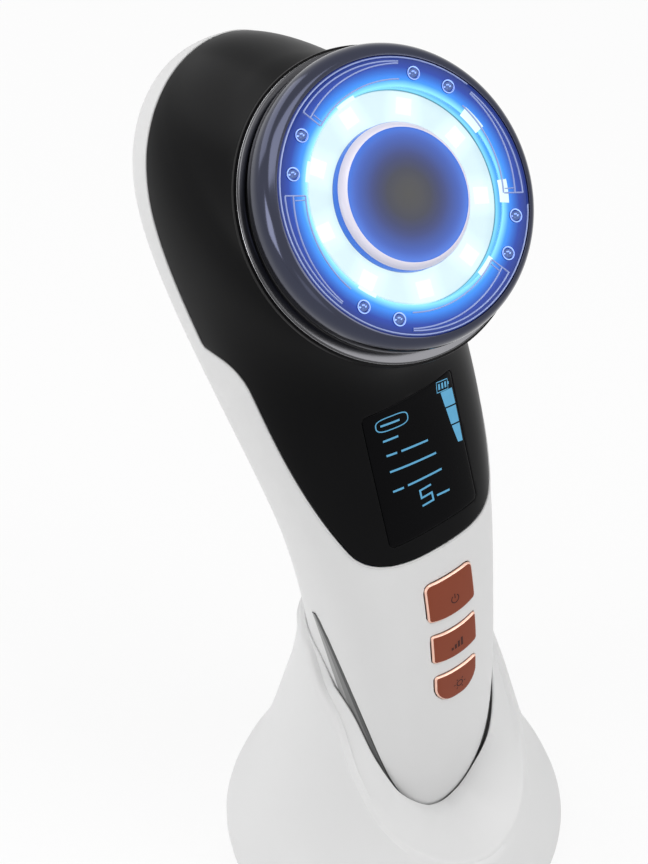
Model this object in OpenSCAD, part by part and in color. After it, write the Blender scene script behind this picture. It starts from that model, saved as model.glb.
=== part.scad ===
// Facial device with a round light head, standing in its charging stand.
// +Z is up, -Y is the side with the display and buttons, and the origin is
// on the table under the stand's axis. Lengths are millimetres.

/* [Grip] */
// Width of the grip at its strips
grip_w = 36.6; // [34:0.2:38.6]
// Front to back thickness of the grip at the lowest button
grip_t = 33; // [31:0.2:36]
// Length of the grip from its foot to the chin under the head
grip_l = 126; // [120:1:134]
// Height of the grip's foot above the table
foot_z = 15; // [14:0.5:18]
// Wall of the plastic shells
wall = 2; // [1.6:0.1:2.3]

/* [Head] */
// Lean of the head's face back from upright
head_lean = 44.5; // [40:0.5:49]
// Height of the lens centre above the chin
head_up = 44.1; // [42:0.1:47]
// Distance of the lens centre behind the stand's axis
lens_y = 0.8; // [-1:0.1:2]
// Depth of the head behind the lens face
head_l = 70; // [66:0.5:76]
// Highest reach of the head's back above the head's axis
head_rise = 44; // [42:0.2:47]
// Width of the head at its widest
head_w = 52.6; // [51:0.2:56]
// Radius of the neck behind the ring
neck_r = 26.5; // [26:0.1:27.6]
// Depth of the neck's front edge behind the lens face
neck_d = 9.6; // [8.8:0.1:10.4]

/* [Head cover] */
// Length of the black cover below the chin
cover_l = 38; // [34:0.5:41]
// Distance of the cover's side corner behind the stand's axis
cover_back = 30.3; // [27:0.1:33]
// Lean of the cover's rear edge
rim_lean = 32.7; // [30:0.1:36]
// Bow of the cover's rear edge
rim_bow = 2.7; // [0:0.1:3]
// Share of the depth in front of the seam to the rear shell
seam_share = 0.9; // [0.84:0.01:0.92]

/* [Ring] */
// Radius of the clear lens
lens_r = 26.4; // [26:0.1:27]
// Thickness of the clear lens
lens_t = 2.4; // [2:0.1:2.8]
// Greatest radius of the bezel
bezel_r = 29.1; // [28.4:0.1:29.6]
// Rise of the bezel's outer edge over the lens centre
bezel_up = 0.5; // [0:0.1:0.6]
// Radius of the bright collar trim
trim_r = 30.2; // [29.8:0.1:30.6]
// Height of the collar trim
trim_t = 0.9; // [0.7:0.1:1.1]
// Radius of the black collar
collar_r = 30.7; // [30.6:0.1:32]
// Radius of the treatment plate's flat face
plate_r = 13; // [12:0.1:13.4]
// Height of the treatment plate above the lens face
plate_up = 1; // [0.6:0.1:1.6]
// Radius at the foot of the plate's chamfer
plate_foot_r = 14.1; // [13.6:0.1:14.4]
// Outer radius of the light guide
guide_r = 20.3; // [19.4:0.1:20.6]
// Thickness of the light guide
guide_t = 1.8; // [1.4:0.1:2]
// Number of LEDs
led_n = 9; // [6:1:11]
// Radius of the circle of LEDs
led_pitch_r = 17.5; // [17:0.1:18]
// Side of one LED
led_w = 3; // [2.6:0.1:3.6]
// Height of one LED
led_t = 1.4; // [1:0.1:1.6]
// Radius of one electrode dome
dome_r = 1.4; // [1.2:0.1:1.7]
// Radius of the circle of electrode domes
dome_pitch_r = 23.4; // [22.8:0.1:23.8]
// Half angle between the two domes of a pair
dome_half = 9.3; // [7:0.1:11]
// Half angle of one raised arc on the lens
arc_half = 27; // [22:0.5:30]
// Height of the raised arcs
arc_up = 0.4; // [0.2:0.1:0.6]

/* [Cooling] */
// Thickness of a printed board
board_t = 1.6; // [1.2:0.1:1.8]
// Side of the cooler
cooler_w = 22; // [18:0.5:24]
// Thickness of the cooler
cooler_t = 3.4; // [3:0.1:4]
// Radius of the heat sink
sink_r = 19.6; // [17:0.1:20]
// Length of the heat sink
sink_l = 14; // [11:0.5:15]
// Thickness of one fin
fin_t = 1.2; // [0.8:0.1:1.5]
// Distance from fin to fin
fin_pitch = 3.3; // [2.8:0.1:4]
// Outer radius of the fan frame
fan_r = 20; // [18.5:0.1:20.4]
// Length of the fan frame
fan_l = 10; // [8:0.5:11]
// Number of fan blades
blade_n = 7; // [5:1:9]
// Width of one vent slot
vent_w = 2.2; // [1.6:0.1:2.6]
// Distance from slot to slot
vent_pitch = 5; // [4.4:0.1:6]
// Radius of the vent field
vent_r = 16; // [12:0.5:18]

/* [Display] */
// Width of the display window
window_w = 23; // [18:0.2:23.6]
// Height of the display window
window_h = 30.4; // [26:0.2:31]
// Depth of the flat back of the window under the cover's front
window_t = 2.4; // [2:0.1:2.8]
// Distance from the chin down to the middle of the window
window_drop = 19.2; // [18:0.1:21]
// Thickness of the display module
module_t = 2; // [1.4:0.1:2.6]

/* [Buttons] */
// Width of the upper button
key_w = 12.4; // [11.8:0.1:12.8]
// Height of the upper button
key_h = 10.5; // [10:0.1:10.8]
// Distance from button to button
key_pitch = 12; // [11.6:0.1:12.6]
// Distance from the chin down to the middle button
key_drop = 63; // [62:0.5:64.5]
// Height of the caps above the shell
key_up = 0.8; // [0.5:0.1:1]
// Way that a button travels
key_travel = 0.7; // [0.4:0.05:0.9]
// Gap round a button cap
key_gap = 0.35; // [0.3:0.05:0.5]
// Depth of the main board's front under the middle button
board_in = 9.4; // [9:0.1:10]
// Height of a switch body
switch_h = 3.4; // [3:0.1:3.6]
// Side of a switch body
switch_w = 6; // [5:0.1:6.4]
// Radius of a switch plunger
plunger_r = 1.7; // [1.4:0.05:1.9]

/* [Battery] */
// Radius of the battery cell
cell_r = 9.1; // [8.4:0.1:9.2]
// Length of the battery cell
cell_l = 65; // [60:1:67]

/* [Side strips] */
// Height of a strip's lower end above the grip's foot
strip_low = 19; // [16:0.5:24]
// Height of a strip's upper end above the grip's foot
strip_high = 67; // [62:0.5:70]
// Width of a strip at its middle
strip_w = 4.4; // [3.6:0.1:5]
// Height of the strips above the shell
strip_up = 0.25; // [0.15:0.05:0.3]
// Depth of the strips in the shell
strip_in = 0.9; // [0.6:0.1:1.1]

/* [Stand] */
// Greatest radius of the stand
base_r = 37.9; // [37:0.1:42]
// Radius of the stand's upper part
collar_out_r = 20.6; // [20.3:0.1:21.6]
// Height of the lip at the front
lip_front = 22.8; // [22.5:0.1:25]
// Height of the lip at the back
lip_back = 72.5; // [70:0.5:76]
// Rise of the lip's inner edge over its outer edge at the front
lip_rise = 3; // [1:0.1:3.4]
// Clear gap between the grip and its cradle at the foot
cradle_gap = 0.7; // [0.6:0.05:0.9]
// Clear gap between the grip and the lip at the back
lip_gap = 0.4; // [0.35:0.05:0.6]
// Wall of the stand's bell
bell_t = 2.4; // [2:0.1:2.8]
// Wall of the lip and the cradle
cradle_t = 1.2; // [1.1:0.1:1.5]
// Gap between the grip's foot and the cradle's floor
seat_gap = 0.3; // [0.3:0.05:0.6]
// Thickness of the cradle's floor
floor_t = 2.4; // [2:0.1:2.6]
// Thickness of the base plate
plate_t = 2.4; // [2:0.1:2.6]
// Thickness of the rubber pad
pad_t = 1.5; // [1.2:0.1:1.8]
// Depth of the pad's seat in the base plate
pad_seat = 0.4; // [0.2:0.05:0.6]
// Thickness of the ballast weight
ballast_t = 2.8; // [2:0.1:3]
// Radius of the ballast weight
ballast_r = 27; // [20:0.5:27.5]
// Distance of the base screws inside the stand's greatest radius
screw_in = 6.9; // [6.8:0.1:7.1]

/* [Charging] */
// Radius of a charge pin
pin_r = 0.9; // [0.7:0.05:1]
// Distance between the two charge pins
pin_pitch = 8.4; // [8:0.1:9]
// Way that a charge pin travels
pin_travel = 1; // [0.6:0.1:1.2]
// Running clearance round a charge pin
pin_gap = 0.05; // [0.03:0.01:0.08]
// Radius of a charge pad in the grip's foot
contact_r = 1.9; // [1.5:0.1:2.1]
// Width of the power inlet
inlet_w = 9; // [8.4:0.1:9.4]
// Height of the power inlet
inlet_h = 3.2; // [3:0.1:3.4]
// Length of the power inlet
inlet_l = 7.4; // [6:0.1:8]

/* [Hidden] */

// Fine steps of the organic forms: points round a section, sections per station
form_n = 40;
form_steps = 3;
inner_n = 24;
inner_steps = 2;
seat_steps = 1;
stand_n = 48;
round_n = 96;
eps = 0.01;
far = 200;

white = [0.86, 0.86, 0.87];
black = [0.05, 0.05, 0.06];
chrome = [0.75, 0.76, 0.78];
copper = [0.55, 0.27, 0.19];
steel = [0.45, 0.45, 0.47];
gold = [0.83, 0.66, 0.3];
board_green = [0.08, 0.3, 0.2];
glow = [0.75, 0.97, 1];

// Places along the grip and head

chin_z = foot_z + grip_l;
lens_z = chin_z + head_up;
function grip_z(share) = foot_z + share * grip_l;
// A point of the side view, given by its depth behind the lens and its height over the head's axis
function head_pt(depth, up) = [
  lens_y + depth * cos(head_lean) + up * sin(head_lean),
  lens_z - depth * sin(head_lean) + up * cos(head_lean)
];

// Loft stations: front point, back point, half width, fullness of the section.
// Level sections run up the grip, and the last ones turn round the chin to face the lens.
function grip_station(height, front, back, width, full) = [
  front * grip_t, grip_z(height), back * grip_t, grip_z(height), width * grip_w / 2, full];
function turn_station(front_pt, back_pt, width, full) = [
  front_pt[0], front_pt[1], back_pt[0], back_pt[1], width * head_w / 2, full];
function neck_station(depth, r) = turn_station(head_pt(depth, -r), head_pt(depth, r), 2 * r / head_w, 2);
stations = [
  grip_station(0, -0.27, 0.12, 0.46, 2.2),
  grip_station(0.024, -0.39, 0.24, 0.66, 2.3),
  grip_station(0.087, -0.49, 0.32, 0.81, 2.4),
  grip_station(0.206, -0.562, 0.343, 0.98, 2.5),
  grip_station(0.357, -0.576, 0.442, 1, 2.5),
  grip_station(0.516, -0.534, 0.576, 1.044, 2.5),
  grip_station(0.667, -0.431, 0.715, 1.175, 2.5),
  grip_station(0.778, -0.282, 0.885, 1.317, 2.5),
  turn_station([-0.121 * grip_t, grip_z(0.905)], head_pt(0.989 * head_l, -0.273 * head_rise), 0.977, 2.5),
  turn_station([-0.03 * grip_t, chin_z], head_pt(0.997 * head_l, 0.316 * head_rise), 0.992, 2.4),
  turn_station(head_pt(0.31 * head_l, -neck_r - 1.3), head_pt(0.931 * head_l, 0.798 * head_rise), 1, 2.3),
  turn_station(head_pt(0.226 * head_l, -neck_r - 0.4), head_pt(0.73 * head_l, 0.991 * head_rise), 0.97, 2.15),
  turn_station(head_pt(0.196 * head_l, -neck_r - 0.3), head_pt(0.541 * head_l, 0.966 * head_rise), 0.897, 2),
  turn_station(head_pt(neck_d + 2.8, -neck_r - 0.5), head_pt(0.317 * head_l, 0.764 * head_rise), 0.878, 2),
  neck_station(neck_d + 2.1, neck_r + 0.8),
  neck_station(neck_d + 1.3, collar_r - 0.6),
  neck_station(neck_d + 0.8, collar_r),
  neck_station(neck_d, collar_r)
];
last = len(stations) - 1;
chin_s = 9;
rear_top_s = 11;
neck_s = 14;

// Smooth curve through a list, without overshoot

function lerp(a, b, t) = a + (b - a) * t;
function mean_slope(a, b) = a * b <= 0 ? 0 : 2 * a * b / (a + b);
function end_slope(a, b) = let (m = (3 * a - b) / 2) m * a <= 0 ? 0 : m;
function slope_at(v, i) = let (n = len(v) - 1)
  i == 0 ? end_slope(v[1] - v[0], v[2] - v[1])
  : i == n ? end_slope(v[n] - v[n - 1], v[n - 1] - v[n - 2])
  : mean_slope(v[i] - v[i - 1], v[i + 1] - v[i]);
function along(v, s) = let (
    i = max(0, min(floor(s), len(v) - 2)), t = s - i,
    m0 = slope_at(v, i), m1 = slope_at(v, i + 1), t2 = t * t, t3 = t2 * t
  )
  (2 * t3 - 3 * t2 + 1) * v[i] + (t3 - 2 * t2 + t) * m0 + (3 * t2 - 2 * t3) * v[i + 1] + (t3 - t2) * m1;

columns = [for (k = [0:5]) [for (row = stations) row[k]]];
function front_pt(s) = [along(columns[0], s), along(columns[1], s)];
function back_pt(s) = [along(columns[2], s), along(columns[3], s)];
function half_w(s) = along(columns[4], s);
function fullness(s) = along(columns[5], s);
// Station at which the front line reaches a height
function station_at(z, low = 0, high = chin_s, steps = 22) =
  steps == 0 ? (low + high) / 2
  : let (mid = (low + high) / 2)
    front_pt(mid)[1] < z ? station_at(z, mid, high, steps - 1) : station_at(z, low, mid, steps - 1);
// Lean of the front line back from upright
function front_lean(s) = let (d = front_pt(s + 0.05) - front_pt(s - 0.05)) atan2(d[0], d[1]);

// Sections and the skins over them

function power(v, e) = sign(v) * pow(abs(v), e);
// One section of the body, drawn in by inset
function section(s, inset, n) = let (
    f = front_pt(s), b = back_pt(s), c = (f + b) / 2, d = (b - f) / 2,
    k = (norm(d) - inset) / norm(d), w = half_w(s) - inset, e = 2 / fullness(s)
  ) [for (j = [0:n - 1]) let (a = 360 * j / n, y = power(sin(a), e) * k)
    [w * power(cos(a), e), c[0] + d[0] * y, c[1] + d[1] * y]];
function shifted(ring, v) = [for (p = ring) p + v];
face_normal = [0, -cos(head_lean), sin(head_lean)];
// Closed skin over rings of equal count, with flat ends
module skin(rings) {
  n = len(rings[0]);
  m = len(rings);
  polyhedron(
    points = [for (ring = rings) each ring],
    faces = concat(
      [for (i = [0:n:(m - 2) * n], j = [0:n - 1]) let (k = (j + 1) % n) [i + j, i + n + j, i + n + k]],
      [for (i = [0:n:(m - 2) * n], j = [0:n - 1]) let (k = (j + 1) % n) [i + j, i + n + k, i + k]],
      [[for (j = [0:n - 1]) j]],
      [[for (j = [n - 1:-1:0]) (m - 1) * n + j]]
    ),
    convexity = 6
  );
}
// The whole body, or the body drawn in by inset
module form(inset, n = form_n, steps = form_steps, low = 0, high = last) {
  count = round((high - low) * steps);
  skin([for (i = [0:count]) section(lerp(low, high, i / count), inset, n)]);
}
// The space inside the shells, open at the neck
module inside(low = 1) {
  count = (neck_s - low) * inner_steps;
  skin(concat(
    low > 1 ? [] : [section(0.35 * wall, wall, inner_n)],
    [for (i = [0:count]) section(lerp(low, neck_s, i / count), wall, inner_n)],
    [shifted(section(neck_s, wall, inner_n), face_normal * 5)]
  ));
}
// A side view outline run across the whole width
module across(outline, w = far, x = 0) {
  translate([x, 0, 0]) rotate([90, 0, 90]) linear_extrude(height = w, center = true) polygon(outline);
}
// Corner b of an outline a, b, c, rounded to radius r
function bend(a, b, c, r, n = 8) = let (
    u = (a - b) / norm(a - b), v = (c - b) / norm(c - b), half = acos(u * v) / 2,
    o = b + (u + v) / norm(u + v) * r / sin(half), p = b + u * r / tan(half), q = b + v * r / tan(half)
  ) [for (i = [0:n]) let (w = lerp(p - o, q - o, i / n)) o + w / norm(w) * r];

// Places on the head and on the front line

module at_head(depth = 0) {
  translate([0, lens_y, lens_z]) rotate([90 - head_lean, 0, 0]) translate([0, 0, -depth]) children();
}
// A piece of the ring: an outline of radius and depth, turned about the head's axis
module turned(outline) {
  at_head() rotate_extrude($fn = round_n) polygon([for (p = outline) [p[0], -p[1]]]);
}
window_s = station_at(chin_z - window_drop);
key_s = station_at(chin_z - key_drop);
key_lean = front_lean(key_s);
// Local +Z points out of the front, and local +Y up along it
module at_front(s, lean) {
  p = front_pt(s);
  translate([0, p[0], p[1]]) rotate([90 - lean, 0, 0]) children();
}
module at_window() { at_front(window_s, front_lean(window_s)) children(); }
module at_keys() { at_front(key_s, key_lean) children(); }
key_stations = [for (i = [1:-1:-1]) station_at(chin_z - key_drop + i * key_pitch * cos(key_lean))];
module at_key(i) { at_front(key_stations[i], key_lean) children(); }
// Depth of a button's own surface point under that of the middle button
function key_sink(i) = let (d = front_pt(key_s) - front_pt(key_stations[i]))
  d[1] * sin(key_lean) - d[0] * cos(key_lean);

// Outlines in the side view

cover_low = chin_z - cover_l;
cover_corner = [cover_back, chin_z + 0.7];
cover_shoulder = [cover_back - 10.7, chin_z + 1.9];
cover_knee = cover_shoulder - (cover_shoulder[1] - cover_low) * [0.707, 1];
cover_round = 9;
// Bow of the rear edge every 6 mm above the corner, as shares of the greatest
bow_shares = [0, 0.35, 0.63, 0.83, 1, 0.93, 0.6, 0.19, -0.7, -2.2];
function rim_at(up) = cover_corner + [up * tan(rim_lean) + rim_bow * along(bow_shares, up / 6), up];
cover_outline = concat(
  [cover_corner],
  bend(cover_corner, cover_shoulder, cover_knee, cover_round),
  bend(cover_shoulder, cover_knee, [-far, cover_low], cover_round),
  [[-far, cover_low], [-far, far + lens_z], [rim_at(54)[0], far + lens_z]],
  [for (up = [54:-6:6]) rim_at(up)]
);
seam_line = [for (s = [0:0.5:rear_top_s]) lerp(front_pt(s), back_pt(s), seam_share)];
rear_outline = concat(
  [[seam_line[0][0], -far]],
  seam_line,
  [seam_line[len(seam_line) - 1] + head_l * [sin(rim_lean), cos(rim_lean)], [far, far], [far, -far]]
);
// Leaf outline of a side strip, from its lower end at the front to its upper end
strip_low_pt = [-0.46 * grip_t, foot_z + strip_low];
strip_high_pt = [0.13 * grip_t, foot_z + strip_high];
strip_n = 12;
strip_line = [for (i = [0:strip_n]) let (t = i / strip_n)
  lerp(strip_low_pt, strip_high_pt, t) + [-1.9 * sin(180 * t), 0]];
strip_side = [for (i = [0:strip_n]) strip_w / 2 * pow(sin(165 * i / strip_n), 0.8)];
strip_dir = (strip_high_pt - strip_low_pt) / norm(strip_high_pt - strip_low_pt);
strip_across = [strip_dir[1], -strip_dir[0]];
strip_outline = concat(
  [for (i = [0:strip_n]) strip_line[i] - strip_side[i] * strip_across],
  [for (i = [strip_n:-1:1]) strip_line[i] + strip_side[i] * strip_across]
);

// Handpiece shells

module shell_body(high = 13) {
  difference() {
    form(0, high = high);
    inside();
  }
}
module strip_block(side) {
  across(strip_outline, w = grip_w, x = side * (grip_w / 2 + eps));
}
module strip_bed() { form(strip_in, n = inner_n, steps = seat_steps, low = 1, high = 7); }
module strip(side) {
  color(steel) difference() {
    intersection() {
      form(-strip_up, low = 2, high = 6);
      strip_block(side);
    }
    strip_bed();
  }
}
module side_strip_left() { strip(-1); }
module side_strip_right() { strip(1); }
module strip_seats() {
  difference() {
    union() {
      strip_block(-1);
      strip_block(1);
    }
    strip_bed();
  }
}
// Outline of a button cap: i is 0 for the upper, 1 for the middle, 2 for the lower one
key_widths = [key_w, key_w - 0.6, key_w - 1.3];
key_heights = [key_h, key_h - 1.9, key_h - 1.9];
key_shifts = [1.15, 0.85, 1.1];
key_top_r = [1.6, 0.8, 0.8];
key_low_r = [0.9, 0.9, 4.2];
key_top_sag = [0.3, 0.8, 0.6];
key_low_sag = [1, 1, 1];
// Point of a level edge between two corners, lowered by the edge's sag
function key_edge(w, y, r) = [for (t = [-0.6, -0.3, 0, 0.3, 0.6]) [t * (w - r), y]];
function key_outline(i, grow) = let (
    w = key_widths[i] / 2 + grow, h = (key_heights[i] - key_low_sag[i]) / 2 + grow,
    rt = key_top_r[i] + grow, rb = key_low_r[i] + grow,
    a = [w, h], b = [-w, h], c = [-w, -h], d = [w, -h],
    flat = concat(
      bend(d, a, b, rt), [for (k = [4:-1:0]) key_edge(w, h, rt)[k]], bend(a, b, c, rt),
      bend(b, c, d, rb), key_edge(w, -h, rb), bend(c, d, a, rb))
  ) [for (p = flat) let (sag = lerp(key_low_sag[i], key_top_sag[i], (p[1] + h) / (2 * h)))
    [p[0], p[1] + key_shifts[i] + key_low_sag[i] / 2 - sag * (1 - pow(p[0] / w, 2))]];
module key_prism(i, grow, low, high) {
  translate([0, 0, low]) linear_extrude(height = high - low) polygon(key_outline(i, grow));
}
// Screw posts for the main board, in the frame of the buttons
post_x = 8.2;
post_y = [key_pitch + key_h / 2 + 5.2, -key_pitch - key_h / 2 - 5];
post_r = 2.2;
screw_r = 0.9;
module at_posts() {
  at_keys() for (x = [-post_x, post_x], y = post_y) translate([x, y, 0]) children();
}
module front_shell() {
  color(white) difference() {
    union() {
      difference() {
        shell_body();
        across(rear_outline);
        across(cover_outline);
      }
      intersection() {
        at_posts() translate([0, 0, -board_in]) cylinder(r = post_r, h = board_in + 4, $fn = 24);
        form(wall / 2, n = inner_n, steps = seat_steps, low = 2, high = 8);
      }
    }
    at_posts() translate([0, 0, -board_in - eps]) cylinder(r = screw_r, h = 5, $fn = 24);
    for (i = [0:2]) at_key(i) key_prism(i, key_gap, -3 * wall, 3);
    strip_seats();
    contact_seats();
  }
}
module vent_slot(l) {
  square([vent_w, l], center = true);
  for (y = [-l / 2, l / 2]) translate([0, y]) circle(d = vent_w, $fn = 20);
}
vent_side = floor((vent_r - vent_w) / vent_pitch);
module rear_shell() {
  color(white) difference() {
    intersection() {
      shell_body();
      across(rear_outline);
    }
    at_head(head_l + 10) linear_extrude(height = 45)
      for (i = [-vent_side:vent_side]) let (x = i * vent_pitch)
        translate([x, 0]) vent_slot(2 * sqrt(vent_r * vent_r - x * x) - vent_w);
    contact_seats();
  }
}
// The window rests on a ledge round an opening in the cover
ledge_w = 1.2;
ledge_t = 1.2;
module window_block(grow, low, high) {
  at_window() translate([0, 0, low]) linear_extrude(height = high - low)
    square([window_w + 2 * grow, window_h + 2 * grow], center = true);
}
module head_cover() {
  color(black) difference() {
    union() {
      intersection() {
        difference() {
          form(0, low = 5);
          inside(low = 5);
        }
        across(cover_outline);
      }
      window_block(ledge_w, -window_t - ledge_t, -window_t);
    }
    window_block(0, -window_t, 6);
    window_block(-ledge_w, -8, 6);
  }
}
module display_window() {
  color(black) intersection() {
    form(0, low = 5, high = 10);
    window_block(0, -window_t, 4);
  }
}
module_rim = ledge_w + 0.1;
module display_module() {
  color(steel) at_window() translate([0, 0, -window_t - module_t / 2])
    cube([window_w - 2 * module_rim, window_h - 2 * module_rim, module_t], center = true);
}

// Ring: every piece is an outline of radius and depth

spacer_r = bezel_r - 0.8;
spacer_t = 0.7;
trim_in_r = trim_r - 2.5;
bezel_back = neck_d - trim_t - spacer_t;
seat_w = 1.8;
board_in_r = 10.6;
spacer_in_r = lens_r - seat_w - 2;
module collar_trim() {
  color(chrome) turned([
    [trim_in_r, neck_d - eps], [trim_r - 0.3, neck_d - eps], [trim_r, neck_d - 0.3],
    [trim_r, neck_d - trim_t + 0.3],
    [trim_r - 0.3, neck_d - trim_t], [trim_in_r, neck_d - trim_t]
  ]);
}
module ring_spacer() {
  color(black) turned([
    [spacer_in_r, neck_d - eps], [trim_in_r, neck_d - eps], [trim_in_r, neck_d - trim_t],
    [spacer_r, neck_d - trim_t],
    [spacer_r, bezel_back], [spacer_in_r, bezel_back]
  ]);
}
bezel_n = 8;
bezel_mid = bezel_back / 2;
module bezel() {
  color(chrome) difference() {
    at_head() translate([0, bezel_up, 0]) rotate_extrude($fn = round_n) polygon([for (p = concat(
      [[lens_r - seat_w - bezel_up, bezel_back], [lens_r - seat_w - bezel_up, 0]],
      [for (i = [0:bezel_n]) let (a = 90 * i / bezel_n)
        [lens_r + (bezel_r - lens_r) * sin(a), bezel_mid * (1 - cos(a))]],
      [for (i = [1:bezel_n]) let (a = 90 * i / bezel_n)
        [spacer_r + (bezel_r - spacer_r) * cos(a), bezel_mid + (bezel_back - bezel_mid) * sin(a)]]
    )) [p[0], -p[1]]]);
    at_head() translate([0, 0, -lens_t]) cylinder(r = lens_r, h = 2 * lens_t, $fn = round_n);
    at_head() translate([0, 0, -2 * bezel_back])
      cylinder(r = lens_r - seat_w, h = 3 * bezel_back, $fn = round_n);
  }
}
stem_r = 0.8;
// Turn of the domes and arcs about the head's axis
ring_turn = 1.9;
// Places of the electrode domes, in pairs between the raised arcs
module at_domes() {
  at_head() for (k = [0:3], side = [-1, 1]) rotate(45 + ring_turn + 90 * k + side * dome_half)
    translate([dome_pitch_r, 0, 0]) children();
}
arc_line = 0.5;
arc_steps = 12;
// Flat line on the lens between two radii, turning as it goes
module arc_strip(r_from, r_to) {
  line = [for (i = [0:arc_steps]) let (t = i / arc_steps) [lerp(r_from, r_to, t), 2 * arc_half * t]];
  translate([0, 0, -0.3]) linear_extrude(height = 0.3 + arc_up) polygon(concat(
    [for (p = line) (p[0] + arc_line / 2) * [cos(p[1]), sin(p[1])]],
    [for (i = [arc_steps:-1:0]) let (p = line[i]) (p[0] - arc_line / 2) * [cos(p[1]), sin(p[1])]]
  ));
}
arc_out_r = 25;
arc_mid_r = 23.3;
arc_in_r = guide_r + 0.5;
module lens_ring() {
  color([0.8, 0.9, 1, 0.4]) difference() {
    union() {
      turned([
        [plate_foot_r + eps, 0], [lens_r - 0.1, 0], [lens_r - 2 * eps, 0.1], [lens_r - 2 * eps, lens_t],
        [plate_foot_r + eps, lens_t]
      ]);
      at_head() for (k = [0:3]) rotate(90 * k + ring_turn - arc_half) {
        arc_strip(arc_out_r, arc_out_r);
        arc_strip(arc_mid_r, arc_out_r - 0.3);
        translate([arc_in_r, -arc_line / 2, -0.3]) cube([arc_out_r - arc_in_r, arc_line, 0.3 + arc_up]);
      }
    }
    at_domes() translate([0, 0, -lens_t - 1]) cylinder(r = stem_r + 0.05, h = lens_t + 2, $fn = 24);
  }
}
module electrode_domes() {
  color(chrome) at_domes() {
    rotate_extrude($fn = 32) polygon([
      [0, 0], [dome_r, 0], [dome_r, 0.25], [dome_r * 0.85, 0.6], [dome_r * 0.55, 0.85], [0, 0.95]
    ]);
    translate([0, 0, -lens_t]) cylinder(r = stem_r, h = lens_t + 0.1, $fn = 24);
  }
}
module light_guide() {
  low = plate_foot_r + 0.3;
  back = lens_t + guide_t;
  color(glow) turned([[low, lens_t], [guide_r, lens_t], [guide_r, back], [low, back]]);
}
led_board_d = bezel_back - board_t;
module led_board() {
  color(board_green) turned([
    [board_in_r, led_board_d], [lens_r - seat_w - 0.1, led_board_d],
    [lens_r - seat_w - 0.1, bezel_back], [board_in_r, bezel_back]
  ]);
}
led_start = 17.3;
module leds() {
  color(glow) at_head(led_board_d) for (k = [0:led_n - 1]) rotate(led_start + 360 / led_n * k)
    translate([led_pitch_r - led_w / 2, -led_w / 2, 0]) cube([led_w, led_w, led_t]);
}
slug_r = 9.6;
slug_d = bezel_back + 2.4;
module treatment_plate() {
  color(chrome) turned([
    [0, -plate_up], [plate_r, -plate_up], [plate_foot_r, 0.7], [plate_foot_r, lens_t],
    [slug_r, lens_t], [slug_r, slug_d], [0, slug_d]
  ]);
}

// Cooling

module cooler() {
  color([0.9, 0.9, 0.88]) at_head(slug_d + cooler_t) translate([-cooler_w / 2, -cooler_w / 2, 0])
    cube([cooler_w, cooler_w, cooler_t]);
}
sink_d = slug_d + cooler_t;
sink_base = 2.4;
fin_side = floor((sink_r - fin_t) / fin_pitch);
module heat_sink() {
  color([0.7, 0.71, 0.73]) at_head(sink_d + sink_l) {
    translate([0, 0, sink_l - sink_base]) cylinder(r = sink_r, h = sink_base, $fn = round_n);
    intersection() {
      cylinder(r = sink_r, h = sink_l, $fn = round_n);
      for (i = [-fin_side:fin_side]) translate([i * fin_pitch - fin_t / 2, -sink_r, 0])
        cube([fin_t, 2 * sink_r, sink_l]);
    }
  }
}
fan_d = sink_d + sink_l;
fan_wall = 1.2;
fan_hub_r = 8;
fan_back = 1.5;
shaft_r = 1;
shaft_l = fan_l - 1.5;
shaft_gap = 0.05;
blade_gap = 0.6;
module fan_frame() {
  color(black) at_head(fan_d + fan_l) {
    difference() {
      cylinder(r = fan_r, h = fan_l, $fn = round_n);
      translate([0, 0, -1]) cylinder(r = fan_r - fan_wall, h = fan_l + 2, $fn = round_n);
    }
    cylinder(r = fan_hub_r, h = fan_back, $fn = 48);
    for (k = [0:2]) rotate(90 + 120 * k) translate([0, -1.2, 0]) cube([fan_r - fan_wall / 2, 2.4, fan_back]);
    cylinder(r = shaft_r, h = shaft_l, $fn = 32);
  }
}
rotor_gap = 0.4;
rotor_low = fan_back + rotor_gap;
rotor_h = fan_l - rotor_low - 0.8;
blade_tilt = 38;
blade_t = 0.9;
module fan_rotor() {
  blade_r = fan_r - fan_wall - blade_gap;
  color([0.12, 0.12, 0.13]) at_head(fan_d + fan_l) translate([0, 0, rotor_low]) {
    difference() {
      cylinder(r = fan_hub_r - 0.5, h = rotor_h, $fn = 48);
      translate([0, 0, -1]) cylinder(r = shaft_r + shaft_gap, h = 1 + shaft_l - rotor_low + 0.3, $fn = 32);
    }
    intersection() {
      difference() {
        cylinder(r = blade_r, h = rotor_h, $fn = round_n);
        translate([0, 0, -1]) cylinder(r = fan_hub_r - 1, h = rotor_h + 2, $fn = 48);
      }
      for (k = [0:blade_n - 1]) rotate(360 / blade_n * k) translate([0, 0, rotor_h / 2])
        rotate([blade_tilt, 0, 0]) translate([0, -blade_t / 2, -rotor_h]) cube([fan_r, blade_t, 2 * rotor_h]);
    }
  }
}

// Buttons, switches and main board

flange_d = wall + 1.5;
flange_t = 0.9;
flange_w = 0.9;
stem_w_r = 1.7;
plunger_up = 1;
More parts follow.
